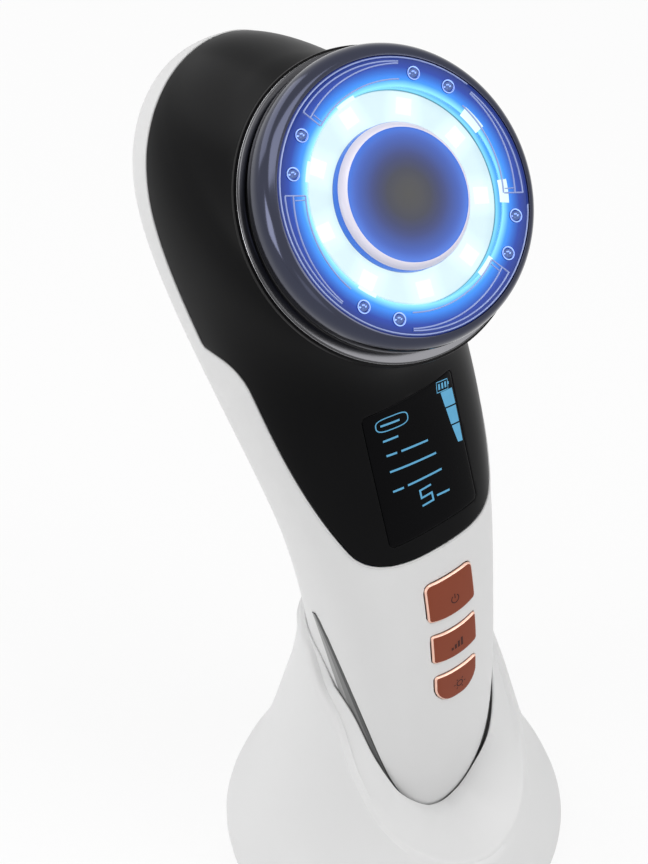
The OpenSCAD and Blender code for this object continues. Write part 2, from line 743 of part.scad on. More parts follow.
// Depth of a plunger's top under a button's own surface point
function plunger_top_d(i) = board_in - switch_h - plunger_up - key_sink(i);
module button_cap(i) {
  color(copper) {
    intersection() {
      form(-key_up, low = 3, high = 7);
      at_key(i) key_prism(i, 0, -flange_d - flange_t, 4);
    }
    at_key(i) key_prism(i, flange_w, -flange_d - flange_t, -flange_d);
    at_key(i) translate([0, 0, -plunger_top_d(i)])
      cylinder(r = stem_w_r, h = plunger_top_d(i) - flange_d, $fn = 24);
  }
}
module button_top() { button_cap(0); }
module button_middle() { button_cap(1); }
module button_low() { button_cap(2); }
plunger_in = 1.4;
module plunger(i) {
  color(black) at_key(i) translate([0, 0, -plunger_top_d(i) - plunger_up - plunger_in])
    cylinder(r = plunger_r, h = plunger_up + plunger_in, $fn = 24);
}
module plunger_top() { plunger(0); }
module plunger_middle() { plunger(1); }
module plunger_low() { plunger(2); }
plunger_gap = 0.06;
module switches() {
  color(steel) for (i = [0:2])
    at_key(i) translate([0, 0, -plunger_top_d(i) - plunger_up - switch_h]) difference() {
      translate([-switch_w / 2, -switch_w / 2, 0]) cube([switch_w, switch_w, switch_h]);
      translate([0, 0, switch_h - plunger_in - key_travel - 0.2])
        cylinder(r = plunger_r + plunger_gap, h = switch_h, $fn = 24);
    }
}
main_half_w = 10.4;
main_high = post_y[0] + 3;
main_low = post_y[1] - 3;
module main_board() {
  color(board_green) at_keys() difference() {
    translate([-main_half_w, main_low, -board_in - board_t])
      cube([2 * main_half_w, main_high - main_low, board_t]);
    for (x = [-post_x, post_x], y = post_y) translate([x, y, -board_in - board_t - 1])
      cylinder(r = screw_r + 0.1, h = board_t + 2, $fn = 24);
  }
}
screw_head_h = 1.2;
module board_screws() {
  color(steel) at_posts() translate([0, 0, -board_in - board_t - screw_head_h]) {
    cylinder(r = 1.8, h = screw_head_h, $fn = 24);
    cylinder(r = screw_r - 0.05, h = screw_head_h + board_t + 4, $fn = 24);
  }
}

// Battery

tray_spine = 0.8;
tray_spine_w = 10;
tray_back = board_in + board_t + screw_head_h + 0.3;
cell_d = board_in + board_t + tray_spine + cell_r;
cell_low = -52;
module battery_cell() {
  color([0.25, 0.35, 0.6]) at_keys() translate([0, cell_low, -cell_d]) rotate([-90, 0, 0])
    cylinder(r = cell_r, h = cell_l, $fn = 64);
}
tray_half_w = 8.6;
tray_inset = 6;
module battery_tray() {
  color([0.2, 0.2, 0.22]) at_keys() difference() {
    union() {
      translate([-tray_half_w, cell_low + tray_inset, -cell_d])
        cube([2 * tray_half_w, cell_l - 2 * tray_inset, cell_d - tray_back]);
      translate([-tray_spine_w / 2, main_low, -tray_back - 1])
        cube([tray_spine_w, cell_low + cell_l - 2 - main_low, tray_back - board_in - board_t + 1]);
    }
    translate([0, cell_low - 1, -cell_d]) rotate([-90, 0, 0])
      cylinder(r = cell_r + 0.02, h = cell_l + 2, $fn = 64);
  }
}

// Charge contacts in the grip's foot

contact_t = 0.8;
contact_y = (stations[0][0] + stations[0][2]) / 2;
module contact_discs(r, h) {
  for (x = [-pin_pitch / 2, pin_pitch / 2])
    translate([x, contact_y, foot_z - eps]) cylinder(r = r, h = h + eps, $fn = 32);
}
module contact_seats() { translate([0, 0, -eps]) contact_discs(contact_r, contact_t + eps); }
module charge_contacts() { color(gold) translate([0, 0, eps]) contact_discs(contact_r, contact_t - eps); }

// Stand

// Radius of the bell at even heights up to its top, as shares of its flare
bell_top = 80;
bell_shares = [0.902, 1, 0.873, 0.653, 0.483, 0.358, 0.243, 0.133, 0.058, 0.009, 0];
function bell_r(z) = collar_out_r
  + (base_r - collar_out_r) * along(bell_shares, min(z / bell_top, 1) * (len(bell_shares) - 1));
// Height of the lip every 15 degrees from the front round to the back
lip_shares = [0, 0.03, 0.111, 0.25, 0.467, 0.714, 0.829, 0.95, 0.99, 1, 1, 1, 1];
function half_turn(a) = a > 180 ? 360 - a : a;
function lip_z(a) = lerp(lip_front, lip_back, along(lip_shares, half_turn(a) / 15));
function lip_inner_z(a) = lip_z(a) + lip_rise * pow(max(0, cos(a)), 0.5);
// Point of the cradle's wall at angle a from the front, grown by grow from the grip
function cradle_pt(a, z, grow) = let (
    s = station_at(max(z, foot_z + eps)), f = front_pt(s)[0], b = back_pt(s)[0],
    w = half_w(s) + grow, d = (b - f) / 2 + grow, p = fullness(s),
    r = pow(pow(abs(sin(a)) / w, p) + pow(abs(cos(a)) / d, p), -1 / p)
  ) [r * sin(a), (f + b) / 2 - r * cos(a), z];
// Gap between the grip and the cradle at a height
function gap_at(z) = lerp(cradle_gap, lip_gap, max(0, min(1, (z - floor_z) / (lip_back - floor_z))));
function soft_max(a, b) = pow(pow(a, 24) + pow(b, 24), 1 / 24);
function outer_pt(a, z, shrink = 0) = let (
    c = cradle_pt(a, z, gap_at(z) + cradle_t),
    r = soft_max(bell_r(z), z > lip_front ? norm([c[0], c[1]]) : 0) - shrink
  ) [r * sin(a), -r * cos(a), z];
bell_low = pad_t - pad_seat - 0.3;
plate_top = bell_low + plate_t;
charge_board_z = plate_top + ballast_t;
floor_z = foot_z - seat_gap;
under_z = floor_z - floor_t;
roof_max = 36;
roof_drop = 5;
function roof_z(a) = min(lip_z(a) - roof_drop, roof_max);
lip_round = 1;
// One line of the stand's surface at angle a, from the cradle's floor over the lip to the underside
function stand_line(a) = let (zi = lip_inner_z(a), zo = lip_z(a), zr = roof_z(a), low = bell_low) concat(
  [cradle_pt(a, floor_z, cradle_gap - 2)],
  [for (t = [0, 0.05, 0.12, 0.22, 0.35, 0.5, 0.65, 0.82, 1]) let (z = lerp(floor_z, zi - lip_round, t))
    cradle_pt(a, z, gap_at(z))],
  [let (p = cradle_pt(a, zi, gap_at(zi) + lip_round * 0.3)) [p[0], p[1], zi - lip_round * 0.3]],
  [let (p = outer_pt(a, zo, lip_round * 0.3)) [p[0], p[1], zo - lip_round * 0.2]],
  [for (t = [0, 0.12, 0.25, 0.4, 0.55, 0.7, 0.85, 0.95, 1]) outer_pt(a, lerp(zo - lip_round, low, t))],
  [for (z = [low, charge_board_z, lerp(charge_board_z, zr, 0.45), zr]) outer_pt(a, z, bell_t)],
  [cradle_pt(a, zr, gap_at(zr) + cradle_t), cradle_pt(a, lerp(under_z, zr, 0.5), cradle_gap + cradle_t)],
  [cradle_pt(a, under_z, cradle_gap + cradle_t)]
);
stand_lines = [for (j = [0:stand_n - 1]) stand_line(-360 * j / stand_n + 360)];
boss_r = 3;
base_screw_r = 1.2;
base_screw_l = 8;
base_head_r = 2.4;
base_head_h = 1;
boss_top = 15;
inlet_z = charge_board_z + board_t + inlet_h / 2;
inlet_gap = 0.3;
inlet_y = base_r - bell_t + 1.2 - inlet_l;
module at_base_screws() {
  for (k = [0:3]) rotate(45 + 90 * k) translate([base_r - screw_in, 0, 0]) children();
}
module rounded_bar(w, h, l) {
  rotate([90, 0, 0]) translate([0, 0, -l]) linear_extrude(height = l) {
    square([w - h, h], center = true);
    for (x = [-(w - h) / 2, (w - h) / 2]) translate([x, 0]) circle(d = h, $fn = 24);
  }
}
module stand_shell() {
  color(white) difference() {
    union() {
      skin([for (i = [0:len(stand_lines[0]) - 1]) [for (line = stand_lines) line[i]]]);
      at_base_screws() translate([0, 0, plate_top]) cylinder(r = boss_r, h = boss_top - plate_top, $fn = 32);
    }
    at_base_screws() translate([0, 0, plate_top - 1])
      cylinder(r = base_screw_r, h = boss_top - plate_top - 1, $fn = 24);
    for (x = [-pin_pitch / 2, pin_pitch / 2]) translate([x, contact_y, under_z - 1])
      cylinder(r = pin_r + 0.4, h = floor_t + 2, $fn = 32);
    translate([0, base_r - 8, inlet_z]) rounded_bar(inlet_w + 2 * inlet_gap, inlet_h + 2 * inlet_gap, 16);
  }
}
base_plate_r = bell_r(bell_low) - bell_t - 0.3;
pad_r = base_plate_r - 0.8;
module base_plate() {
  color([0.8, 0.8, 0.81]) difference() {
    translate([0, 0, bell_low]) cylinder(r = base_plate_r, h = plate_t, $fn = round_n);
    translate([0, 0, bell_low - 1]) cylinder(r = pad_r + 0.1, h = 1 + pad_t - bell_low, $fn = round_n);
    at_base_screws() translate([0, 0, bell_low - 1]) {
      cylinder(r = base_screw_r + 0.2, h = plate_t + 2, $fn = 24);
      cylinder(r = base_head_r + 0.2, h = 1 + pad_t - bell_low + base_head_h, $fn = 32);
    }
  }
}
module rubber_pad() { color([0.15, 0.15, 0.16]) cylinder(r = pad_r, h = pad_t, $fn = round_n); }
module base_screws() {
  color(steel) at_base_screws() translate([0, 0, pad_t]) {
    cylinder(r = base_head_r, h = base_head_h, $fn = 32);
    cylinder(r = base_screw_r - 0.05, h = base_screw_l, $fn = 24);
  }
}
module ballast() {
  color(steel) translate([0, 0, plate_top]) cylinder(r = ballast_r, h = ballast_t, $fn = round_n);
}
module charge_board() {
  color(board_green) translate([0, 0, charge_board_z]) linear_extrude(height = board_t) {
    translate([0, contact_y]) circle(r = 9, $fn = 48);
    translate([-6, contact_y]) square([12, base_r - bell_t - 1.5 - contact_y]);
  }
}
module power_inlet() {
  color(steel) difference() {
    translate([0, inlet_y, inlet_z]) rounded_bar(inlet_w, inlet_h, inlet_l);
    translate([0, inlet_y + 1, inlet_z]) rounded_bar(inlet_w - 0.6, inlet_h - 0.6, inlet_l);
  }
  color(black) translate([-3, inlet_y + 0.5, inlet_z - 0.35]) cube([6, inlet_l - 1.5, 0.7]);
}
holder_r = 7.6;
pin_low = charge_board_z + board_t + pin_travel + 0.4;
module pin_holder() {
  color(black) difference() {
    translate([0, contact_y, charge_board_z + board_t])
      cylinder(r = holder_r, h = under_z - charge_board_z - board_t, $fn = 48);
    for (x = [-pin_pitch / 2, pin_pitch / 2]) translate([x, contact_y, pin_low - pin_travel - 0.2])
      cylinder(r = pin_r + pin_gap, h = floor_z, $fn = 32);
  }
}
module charge_pin(side) {
  color(gold) translate([side * pin_pitch / 2, contact_y, pin_low]) rotate_extrude($fn = 32) polygon([
    [0, 0], [pin_r, 0], [pin_r, foot_z - 0.6 - pin_low], [pin_r * 0.8, foot_z - 0.25 - pin_low],
    [0, foot_z - 0.1 - pin_low]
  ]);
}
module charge_pin_left() { charge_pin(-1); }
module charge_pin_right() { charge_pin(1); }

rear_shell();
front_shell();
head_cover();
display_window();
display_module();
collar_trim();
ring_spacer();
bezel();
lens_ring();
electrode_domes();
light_guide();
led_board();
leds();
treatment_plate();
cooler();
heat_sink();
fan_frame();
fan_rotor();
button_top();
button_middle();
button_low();
plunger_top();
plunger_middle();
plunger_low();
switches();
main_board();
board_screws();
battery_cell();
battery_tray();
side_strip_left();
side_strip_right();
charge_contacts();
stand_shell();
base_plate();
rubber_pad();
base_screws();
ballast();
charge_board();
power_inlet();
pin_holder();
charge_pin_left();
charge_pin_right();
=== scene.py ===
"""Looks of a handheld facial care device in its charging stand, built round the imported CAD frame."""

import math

import bpy
import numpy as np
from bpy.props import FloatProperty, FloatVectorProperty, IntProperty, PointerProperty
from mathutils import Matrix, Vector
from mathutils.bvhtree import BVHTree


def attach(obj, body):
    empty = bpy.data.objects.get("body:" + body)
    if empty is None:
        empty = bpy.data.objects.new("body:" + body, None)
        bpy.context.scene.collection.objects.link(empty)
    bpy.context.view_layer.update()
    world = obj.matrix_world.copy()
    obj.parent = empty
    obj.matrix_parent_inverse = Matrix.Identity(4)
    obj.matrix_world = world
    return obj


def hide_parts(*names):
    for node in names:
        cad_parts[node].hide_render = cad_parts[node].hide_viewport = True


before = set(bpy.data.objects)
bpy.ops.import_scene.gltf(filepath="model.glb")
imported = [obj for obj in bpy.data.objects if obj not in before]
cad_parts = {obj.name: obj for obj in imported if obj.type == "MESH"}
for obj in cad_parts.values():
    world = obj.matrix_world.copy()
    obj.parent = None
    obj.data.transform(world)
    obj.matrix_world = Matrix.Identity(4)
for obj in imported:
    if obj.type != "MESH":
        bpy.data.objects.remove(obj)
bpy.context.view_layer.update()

bl_info = {
    "name": "Facial care device",
    "version": (1, 0, 0),
    "blender": (4, 5, 0),
    "location": "View3D > Sidebar > Device",
    "description": "Shells, light ring, display, buttons and stand of a facial care device",
    "category": "Object",
}

MM = 0.001

# Side view of the body in millimetres: the same stations as the part's solids

LENS = np.array([0.0, 0.8, 185.1])
HEAD_LEAN = math.radians(44.5)
FACE = np.array([0, -math.cos(HEAD_LEAN), math.sin(HEAD_LEAN)])
RISE = np.array([0, math.sin(HEAD_LEAN), math.cos(HEAD_LEAN)])
SIDE = np.array([1.0, 0, 0])
FOOT_Z, GRIP_L, GRIP_W, GRIP_T = 15.0, 126.0, 36.6, 33.0
CHIN_Z = FOOT_Z + GRIP_L
HEAD_L, HEAD_RISE, HEAD_W, NECK_R, NECK_D, COLLAR_R = 70.0, 44.0, 52.6, 26.5, 9.6, 30.7
LAST = 17  # the last station


def head_pt(depth, up):
    """Side view point at a depth behind the lens and a height over the head's axis."""
    p = LENS - depth * FACE + up * RISE
    return [p[1], p[2]]


def grip_station(height, front, back, width, full):
    z = FOOT_Z + height * GRIP_L
    return [front * GRIP_T, z, back * GRIP_T, z, width * GRIP_W / 2, full]


def turn_station(front, back, width, full):
    return [*front, *back, width * HEAD_W / 2, full]


def neck_station(depth, r):
    return turn_station(head_pt(depth, -r), head_pt(depth, r), 2 * r / HEAD_W, 2)


STATIONS = np.array([
    grip_station(0, -0.27, 0.12, 0.46, 2.2),
    grip_station(0.024, -0.39, 0.24, 0.66, 2.3),
    grip_station(0.087, -0.49, 0.32, 0.81, 2.4),
    grip_station(0.206, -0.562, 0.343, 0.98, 2.5),
    grip_station(0.357, -0.576, 0.442, 1, 2.5),
    grip_station(0.516, -0.534, 0.576, 1.044, 2.5),
    grip_station(0.667, -0.431, 0.715, 1.175, 2.5),
    grip_station(0.778, -0.282, 0.885, 1.317, 2.5),
    turn_station([-0.121 * GRIP_T, FOOT_Z + 0.905 * GRIP_L],
                 head_pt(0.989 * HEAD_L, -0.273 * HEAD_RISE), 0.977, 2.5),
    turn_station([-0.03 * GRIP_T, CHIN_Z], head_pt(0.997 * HEAD_L, 0.316 * HEAD_RISE), 0.992, 2.4),
    turn_station(head_pt(0.31 * HEAD_L, -NECK_R - 1.3), head_pt(0.931 * HEAD_L, 0.798 * HEAD_RISE), 1, 2.3),
    turn_station(head_pt(0.226 * HEAD_L, -NECK_R - 0.4), head_pt(0.73 * HEAD_L, 0.991 * HEAD_RISE), 0.97, 2.15),
    turn_station(head_pt(0.196 * HEAD_L, -NECK_R - 0.3), head_pt(0.541 * HEAD_L, 0.966 * HEAD_RISE), 0.897, 2),
    turn_station(head_pt(NECK_D + 2.8, -NECK_R - 0.5), head_pt(0.317 * HEAD_L, 0.764 * HEAD_RISE), 0.878, 2),
    neck_station(NECK_D + 2.1, NECK_R + 0.8),
    neck_station(NECK_D + 1.3, COLLAR_R - 0.6),
    neck_station(NECK_D + 0.8, COLLAR_R),
    neck_station(NECK_D, COLLAR_R),
])


def along(values, s):
    """Smooth curve without overshoot through evenly spaced values, at places s."""
    v = np.asarray(values, float)
    flat = v.ndim == 1
    v = v[:, None] if flat else v
    d = np.diff(v, axis=0)
    with np.errstate(all="ignore"):
        mid = np.where(d[:-1] * d[1:] > 0, 2 * d[:-1] * d[1:] / (d[:-1] + d[1:]), 0)
    ends = [(3 * d[0] - d[1]) / 2, (3 * d[-1] - d[-2]) / 2]
    ends = [np.where(m * near > 0, m, 0) for m, near in zip(ends, (d[0], d[-1]))]
    slope = np.vstack([ends[0], mid, ends[1]])
    s = np.atleast_1d(np.asarray(s, float))
    i = np.clip(np.floor(s).astype(int), 0, len(v) - 2)
    t = (s - i)[:, None]
    out = ((2 * t**3 - 3 * t**2 + 1) * v[i] + (t**3 - 2 * t**2 + t) * slope[i]
           + (3 * t**2 - 2 * t**3) * v[i + 1] + (t**3 - t**2) * slope[i + 1])
    return out[:, 0] if flat else out


def eased_table(step=0.05, reach=0.42):
    """Stations at fine steps, with the joins between them eased so that highlights run on."""
    s = np.arange(0, LAST + step / 2, step)
    raw = along(STATIONS, s)
    sigma = reach * np.clip(s / 1.2, 0, 1) * np.clip((13 - s) / 1.5, 0, 1)
    out = raw.copy()
    for k, width in enumerate(sigma):
        if width > 0.02:
            weight = np.exp(-0.5 * ((s - s[k]) / width) ** 2)
            out[k] = weight @ raw / weight.sum()
    return s, out


TABLE_S, TABLE = eased_table()


def table_at(s):
    return np.stack([np.interp(s, TABLE_S, TABLE[:, k]) for k in range(6)], axis=-1)


def bent(v, e):
    return np.sign(v) * np.abs(v) ** e


def circle(n):
    """Angles of n points round a full turn."""
    return np.linspace(0, 2 * np.pi, n, endpoint=False)


def unit(rows):
    """Rows scaled to a length of one."""
    return rows / np.maximum(np.linalg.norm(rows, axis=1, keepdims=True), 1e-12)


def body_surface(params):
    """Points of the body at rows of (station, cosine, sine)."""
    s, c, n = params.T
    size = np.hypot(c, n)
    row = table_at(s)
    e = 2 / row[:, 5]
    y = bent(n / size, e)
    mid, half = (row[:, 0:2] + row[:, 2:4]) / 2, (row[:, 2:4] - row[:, 0:2]) / 2
    return np.column_stack([row[:, 4] * bent(c / size, e), mid + half * y[:, None]])


def net(rows, columns, turn=True):
    """Quads over a net of points in rows, joined round where turn is set."""
    faces = []
    for i in range(rows - 1):
        for j in range(columns if turn else columns - 1):
            k = (j + 1) % columns
            faces.append([i * columns + j, i * columns + k, (i + 1) * columns + k, (i + 1) * columns + j])
    return faces


def body_net(low, high, rows, columns):
    """Parameters and faces of the body's skin between two stations."""
    s, a = np.meshgrid(np.linspace(low, high, rows), circle(columns), indexing="ij")
    return np.column_stack([s.ravel(), np.cos(a).ravel(), np.sin(a).ravel()]), net(rows, columns)


# Outlines and cuts


def bend(a, b, c, r, n=8):
    """Corner b of an outline a, b, c, rounded to radius r."""
    a, b, c = (np.asarray(p, float) for p in (a, b, c))
    u, v = (a - b) / np.linalg.norm(a - b), (c - b) / np.linalg.norm(c - b)
    half = math.acos(float(u @ v)) / 2
    o = b + (u + v) / np.linalg.norm(u + v) * r / math.sin(half)
    p, q = b + u * r / math.tan(half) - o, b + v * r / math.tan(half) - o
    out = []
    for i in range(n + 1):
        w = p + (q - p) * i / n
        out.append(o + w / np.linalg.norm(w) * r)
    return out


def distance(outline, points):
    """Distance of plane points from an outline, positive outside it."""
    a = np.asarray(outline, float)
    b = np.roll(a, -1, axis=0)
    near = np.full(len(points), np.inf)
    inside = np.zeros(len(points), bool)
    for p, q in zip(a, b):
        d, w = q - p, points - p
        t = np.clip(w @ d / max(d @ d, 1e-12), 0, 1)
        near = np.minimum(near, np.linalg.norm(w - t[:, None] * d, axis=1))
        if p[1] != q[1]:
            across = (p[1] > points[:, 1]) != (q[1] > points[:, 1])
            x = p[0] + (points[:, 1] - p[1]) / (q[1] - p[1]) * d[0]
            inside ^= across & (points[:, 0] < x)
    return np.where(inside, -near, near)


def trimmed(params, faces, values):
    """The part of a mesh where values are positive, each face cut along the zero line."""
    params, cut, kept = list(params), {}, []
    for face in faces:
        sign = [values[v] > 0 for v in face]
        if all(sign):
            kept.append(face)
            continue
        if not any(sign):
            continue
        loop = []
        for k, v in enumerate(face):
            w = face[(k + 1) % len(face)]
            if values[v] > 0:
                loop.append(v)
            if (values[v] > 0) != (values[w] > 0):
                key = (min(v, w), max(v, w))
                if key not in cut:
                    t = values[key[0]] / (values[key[0]] - values[key[1]])
                    cut[key] = len(params)
                    params.append(params[key[0]] + (params[key[1]] - params[key[0]]) * t)
                loop.append(cut[key])
        kept.append(loop)
    used = sorted({v for face in kept for v in face})
    new = {v: i for i, v in enumerate(used)}
    return np.array([params[v] for v in used]), [[new[v] for v in face] for face in kept]


def normals_of(points, faces):
    out = np.zeros_like(points)
    for face in faces:
        p = points[face]
        n = np.cross(p[1:-1] - p[0], p[2:] - p[0]).sum(axis=0)
        out[face] += n
    return unit(out)


def open_edges(faces):
    edges = {(f[k], f[(k + 1) % len(f)]) for f in faces for k in range(len(f))}
    return [e for e in edges if (e[1], e[0]) not in edges]


def walled(points, faces, edges, rows):
    """Carries open edges on over rows of new points, each named by the vertex it comes from."""
    points, faces, last = list(points), list(faces), {v: v for e in edges for v in e}
    for row in rows:
        new = {v: len(points) + k for k, v in enumerate(row)}
        points += row.values()
        faces += [[last[b], last[a], new[a], new[b]] for a, b in edges]
        last = new
    return np.array(points), faces


def lipped(points, faces, steps, skip=lambda p: False):
    """Turns a sheet's open edges inward over steps of (outward, down), as a moulded wall."""
    normal = normals_of(points, faces)
    edges = [e for e in open_edges(faces) if not (skip(points[e[0]]) and skip(points[e[1]]))]
    away = np.zeros_like(points)
    for a, b in edges:
        d = points[b] - points[a]
        out = np.cross(d / max(np.linalg.norm(d), 1e-9), normal[a] + normal[b])
        away[a] += out
        away[b] += out
    away, rim = unit(away), sorted({v for e in edges for v in e})
    rows = [{v: points[v] + away[v] * out - normal[v] * down for v in rim} for out, down in steps]
    return walled(points, faces, edges, rows)


def chains(edges):
    """Open edges strung into lines of vertices."""
    after = dict(edges)
    starts = [a for a in after if a not in set(after.values())]
    out, left = [], set(after)
    while left:
        v = next((a for a in starts if a in left), None)
        v = next(iter(left)) if v is None else v
        line = [v]
        while v in left:
            left.discard(v)
            v = after[v]
            line.append(v)
        out.append(line)
    return out


def tube(line, r, sides=8):
    """Points and faces of a thin round bead along a line."""
    line = np.asarray(line, float)
    way = unit(np.gradient(line, axis=0))
    side = unit(np.cross(way, SIDE + 0.01))
    up = np.cross(side, way)
    a = circle(sides)[None, :, None]
    points = line[:, None] + r * (np.cos(a) * side[:, None] + np.sin(a) * up[:, None])
    return points.reshape(-1, 3), net(len(line), sides)


def joined(parts):
    """Several (points, faces) made into one."""
    points, faces, start = [], [], 0
    for p, f in parts:
        points.append(np.asarray(p, float))
        faces += [[v + start for v in face] for face in f]
        start += len(p)
    return np.vstack(points), faces


# The front line and the frames that ride on it

FINE_S = np.linspace(0, 9, 1801)
FINE = along(STATIONS, FINE_S)


def station_at(z):
    return np.interp(z, FINE[:, 1], FINE_S)


class Plane:
    """A local frame on the front: X to the side, Y up along the front, Z out of it."""

    def __init__(self, y, z, lean):
        lean = math.radians(lean)
        self.origin = np.array([0, y, z])
        self.up = np.array([0, math.sin(lean), math.cos(lean)])
        self.out = np.array([0, -math.cos(lean), math.sin(lean)])

    def local(self, points):
        p = points - self.origin
        return np.column_stack([p[:, 0], p @ self.up, p @ self.out])

    def world(self, x, y, z):
        return self.origin + x * SIDE + y * self.up + z * self.out


WINDOW = Plane(-6.2813, 121.8, 18.6876)
WINDOW_W, WINDOW_H = 23, 30.4
KEY_LEAN = 5.73021
KEYS = [Plane(-16.1813, 89.94, KEY_LEAN), Plane(-17.8253, 78, KEY_LEAN), Plane(-18.8266, 66.06, KEY_LEAN)]

CORNER = np.array([30.3, CHIN_Z + 0.7])
SHOULDER = np.array([19.6, CHIN_Z + 1.9])
COVER_LOW = CHIN_Z - 38
KNEE = SHOULDER - (SHOULDER[1] - COVER_LOW) * np.array([0.707, 1])
BOW = [0, 0.35, 0.63, 0.83, 1, 0.93, 0.6, 0.19, -0.7, -2.2]
RIM_LEAN = math.radians(32.7)
UPS = np.arange(54, 1, -2)
RIM = np.column_stack([CORNER[0] + UPS * math.tan(RIM_LEAN) + 2.7 * along(BOW, UPS / 6), CORNER[1] + UPS])
COVER_OUTLINE = np.vstack([
    [CORNER], bend(CORNER, SHOULDER, KNEE, 9), bend(SHOULDER, KNEE, [-200, COVER_LOW], 9),
    [[-200, COVER_LOW], [-200, 400], [RIM[0][0], 400]], RIM,
])
SEAM = along(STATIONS, np.arange(0, 11.1, 0.25))
SEAM = SEAM[:, 0:2] + 0.9 * (SEAM[:, 2:4] - SEAM[:, 0:2])
REAR_OUTLINE = np.vstack([
    [[SEAM[0][0], -200]], SEAM, [SEAM[-1] + HEAD_L * np.array([math.sin(RIM_LEAN), math.cos(RIM_LEAN)])],
    [[200, 200], [200, -200]],
])

STRIP_LOW = np.array([-0.46 * GRIP_T, FOOT_Z + 19])
STRIP_HIGH = np.array([0.13 * GRIP_T, FOOT_Z + 67])
STRIP_WAY = (STRIP_HIGH - STRIP_LOW) / np.linalg.norm(STRIP_HIGH - STRIP_LOW)
STRIP_ACROSS = np.array([STRIP_WAY[1], -STRIP_WAY[0]])


def strip_edge(t, u, width=4.4, grow=0.0):
    """Side view point of a side strip at a share t of its length and u of its half width."""
    t = np.asarray(t, float)
    line = STRIP_LOW + np.multiply.outer(t, STRIP_HIGH - STRIP_LOW)
    line = line + np.multiply.outer(-1.9 * np.sin(np.pi * t), np.array([1.0, 0]))
    half = width / 2 * np.maximum(np.sin(np.radians(165 * t)), 0) ** 0.8 + grow
    return line + (np.asarray(u) * half)[..., None] * STRIP_ACROSS


def strip_outline(grow):
    t = np.linspace(0, 1, 40)
    down, up = strip_edge(t, -1 + 0 * t, grow=grow), strip_edge(t[:0:-1], 1 + 0 * t[1:], grow=grow)
    return np.vstack([down, up])


KEY_WIDTHS, KEY_HEIGHTS, KEY_SHIFTS = [12.4, 11.8, 11.1], [10.5, 8.6, 8.6], [1.15, 0.85, 1.1]
KEY_TOP_R, KEY_LOW_R = [1.6, 0.8, 0.8], [0.9, 0.9, 4.2]
KEY_TOP_SAG, KEY_LOW_SAG = [0.3, 0.8, 0.6], [1, 1, 1]


def key_outline(i, grow):
    """Outline of a button cap: 0 is the upper, 1 the middle and 2 the lower one."""
    w, h = KEY_WIDTHS[i] / 2 + grow, (KEY_HEIGHTS[i] - KEY_LOW_SAG[i]) / 2 + grow
    rt, rb = max(KEY_TOP_R[i] + grow, 0.15), max(KEY_LOW_R[i] + grow, 0.15)
    a, b, c, d = [w, h], [-w, h], [-w, -h], [w, -h]
    span = np.linspace(-0.8, 0.8, 9)
    tall = np.linspace(-h + rb, h - rt, 11)[1:-1]
    flat = np.vstack([
        bend(d, a, b, rt), [[t * (w - rt), h] for t in span[::-1]], bend(a, b, c, rt),
        [[-w, y] for y in tall[::-1]], bend(b, c, d, rb), [[t * (w - rb), -h] for t in span],
        bend(c, d, a, rb), [[w, y] for y in tall],
    ])
    sag = KEY_LOW_SAG[i] + (KEY_TOP_SAG[i] - KEY_LOW_SAG[i]) * (flat[:, 1] + h) / (2 * h)
    y = flat[:, 1] + KEY_SHIFTS[i] + KEY_LOW_SAG[i] / 2 - sag * (1 - (flat[:, 0] / w) ** 2)
    return np.column_stack([flat[:, 0], y])


def round_rect(w, h, r, n=6):
    a, b, c, d = [w / 2, h / 2], [-w / 2, h / 2], [-w / 2, -h / 2], [w / 2, -h / 2]
    span = np.linspace(-0.85, 0.85, 13)
    return np.vstack([
        bend(d, a, b, r, n), [[t * (w / 2 - r), h / 2] for t in span[::-1]], bend(a, b, c, r, n),
        [[-w / 2, t * (h / 2 - r)] for t in span[::-1]], bend(b, c, d, r, n),
        [[t * (w / 2 - r), -h / 2] for t in span], bend(c, d, a, r, n), [[w / 2, t * (h / 2 - r)] for t in span],
    ])


def window_rect(grow, r):
    """Outline of the display window, with its width and height grown."""
    return round_rect(WINDOW_W + grow, WINDOW_H + grow, r)


def make_caster():
    params, faces = body_net(1, 13, 260, 220)
    return BVHTree.FromPolygons(body_surface(params).tolist(), faces)


CASTER = make_caster()
OUTSIDE = 30.0  # a height over any plane that is clear of the body


def cast(start, way, lift):
    """The place where a ray meets the body, lifted off its skin."""
    hit, normal, _, _ = CASTER.ray_cast(Vector(start), Vector(way))
    if hit is None:
        raise RuntimeError("a point lies off the body")
    return np.array(hit) + lift * np.array(normal)


def drape(plane, flat, lift):
    """Plane points dropped onto the body along the plane's Z."""
    return np.array([cast(plane.world(x, y, OUTSIDE), -plane.out, lift) for x, y in flat])


def shrunk(ring, shares):
    """Copies of a ring drawn towards its middle."""
    centre = ring.mean(axis=0)
    return [centre + (ring - centre) * k for k in shares]


def domed(rings):
    """Closed cap over rings of equal count, drawn together at the last one."""
    n = len(rings[0])
    points = np.vstack(rings)
    faces = net(len(rings), n)
    faces.append([(len(rings) - 1) * n + j for j in range(n)])
    return points, faces


# The head's frame


def at_head(x, y, depth):
    return LENS + np.multiply.outer(x, SIDE) + np.multiply.outer(y, RISE) - np.multiply.outer(depth, FACE)


def head_ring(x, y, r, depth, n):
    """A ring of n points round a place in the head's frame."""
    a = circle(n)
    return at_head(x + r * np.cos(a), y + r * np.sin(a), np.full(n, float(depth)))


RING_N = 144  # points round a lathed piece


def lathe(profile, n=RING_N, shifts=None):
    """Rings of (radius, depth) round the head's axis, with an upward shift for each ring."""
    rings = [head_ring(0, up, r, d, n) for (r, d), up in zip(profile, shifts or [0] * len(profile))]
    return np.vstack(rings), [f[::-1] for f in net(len(rings), n)]


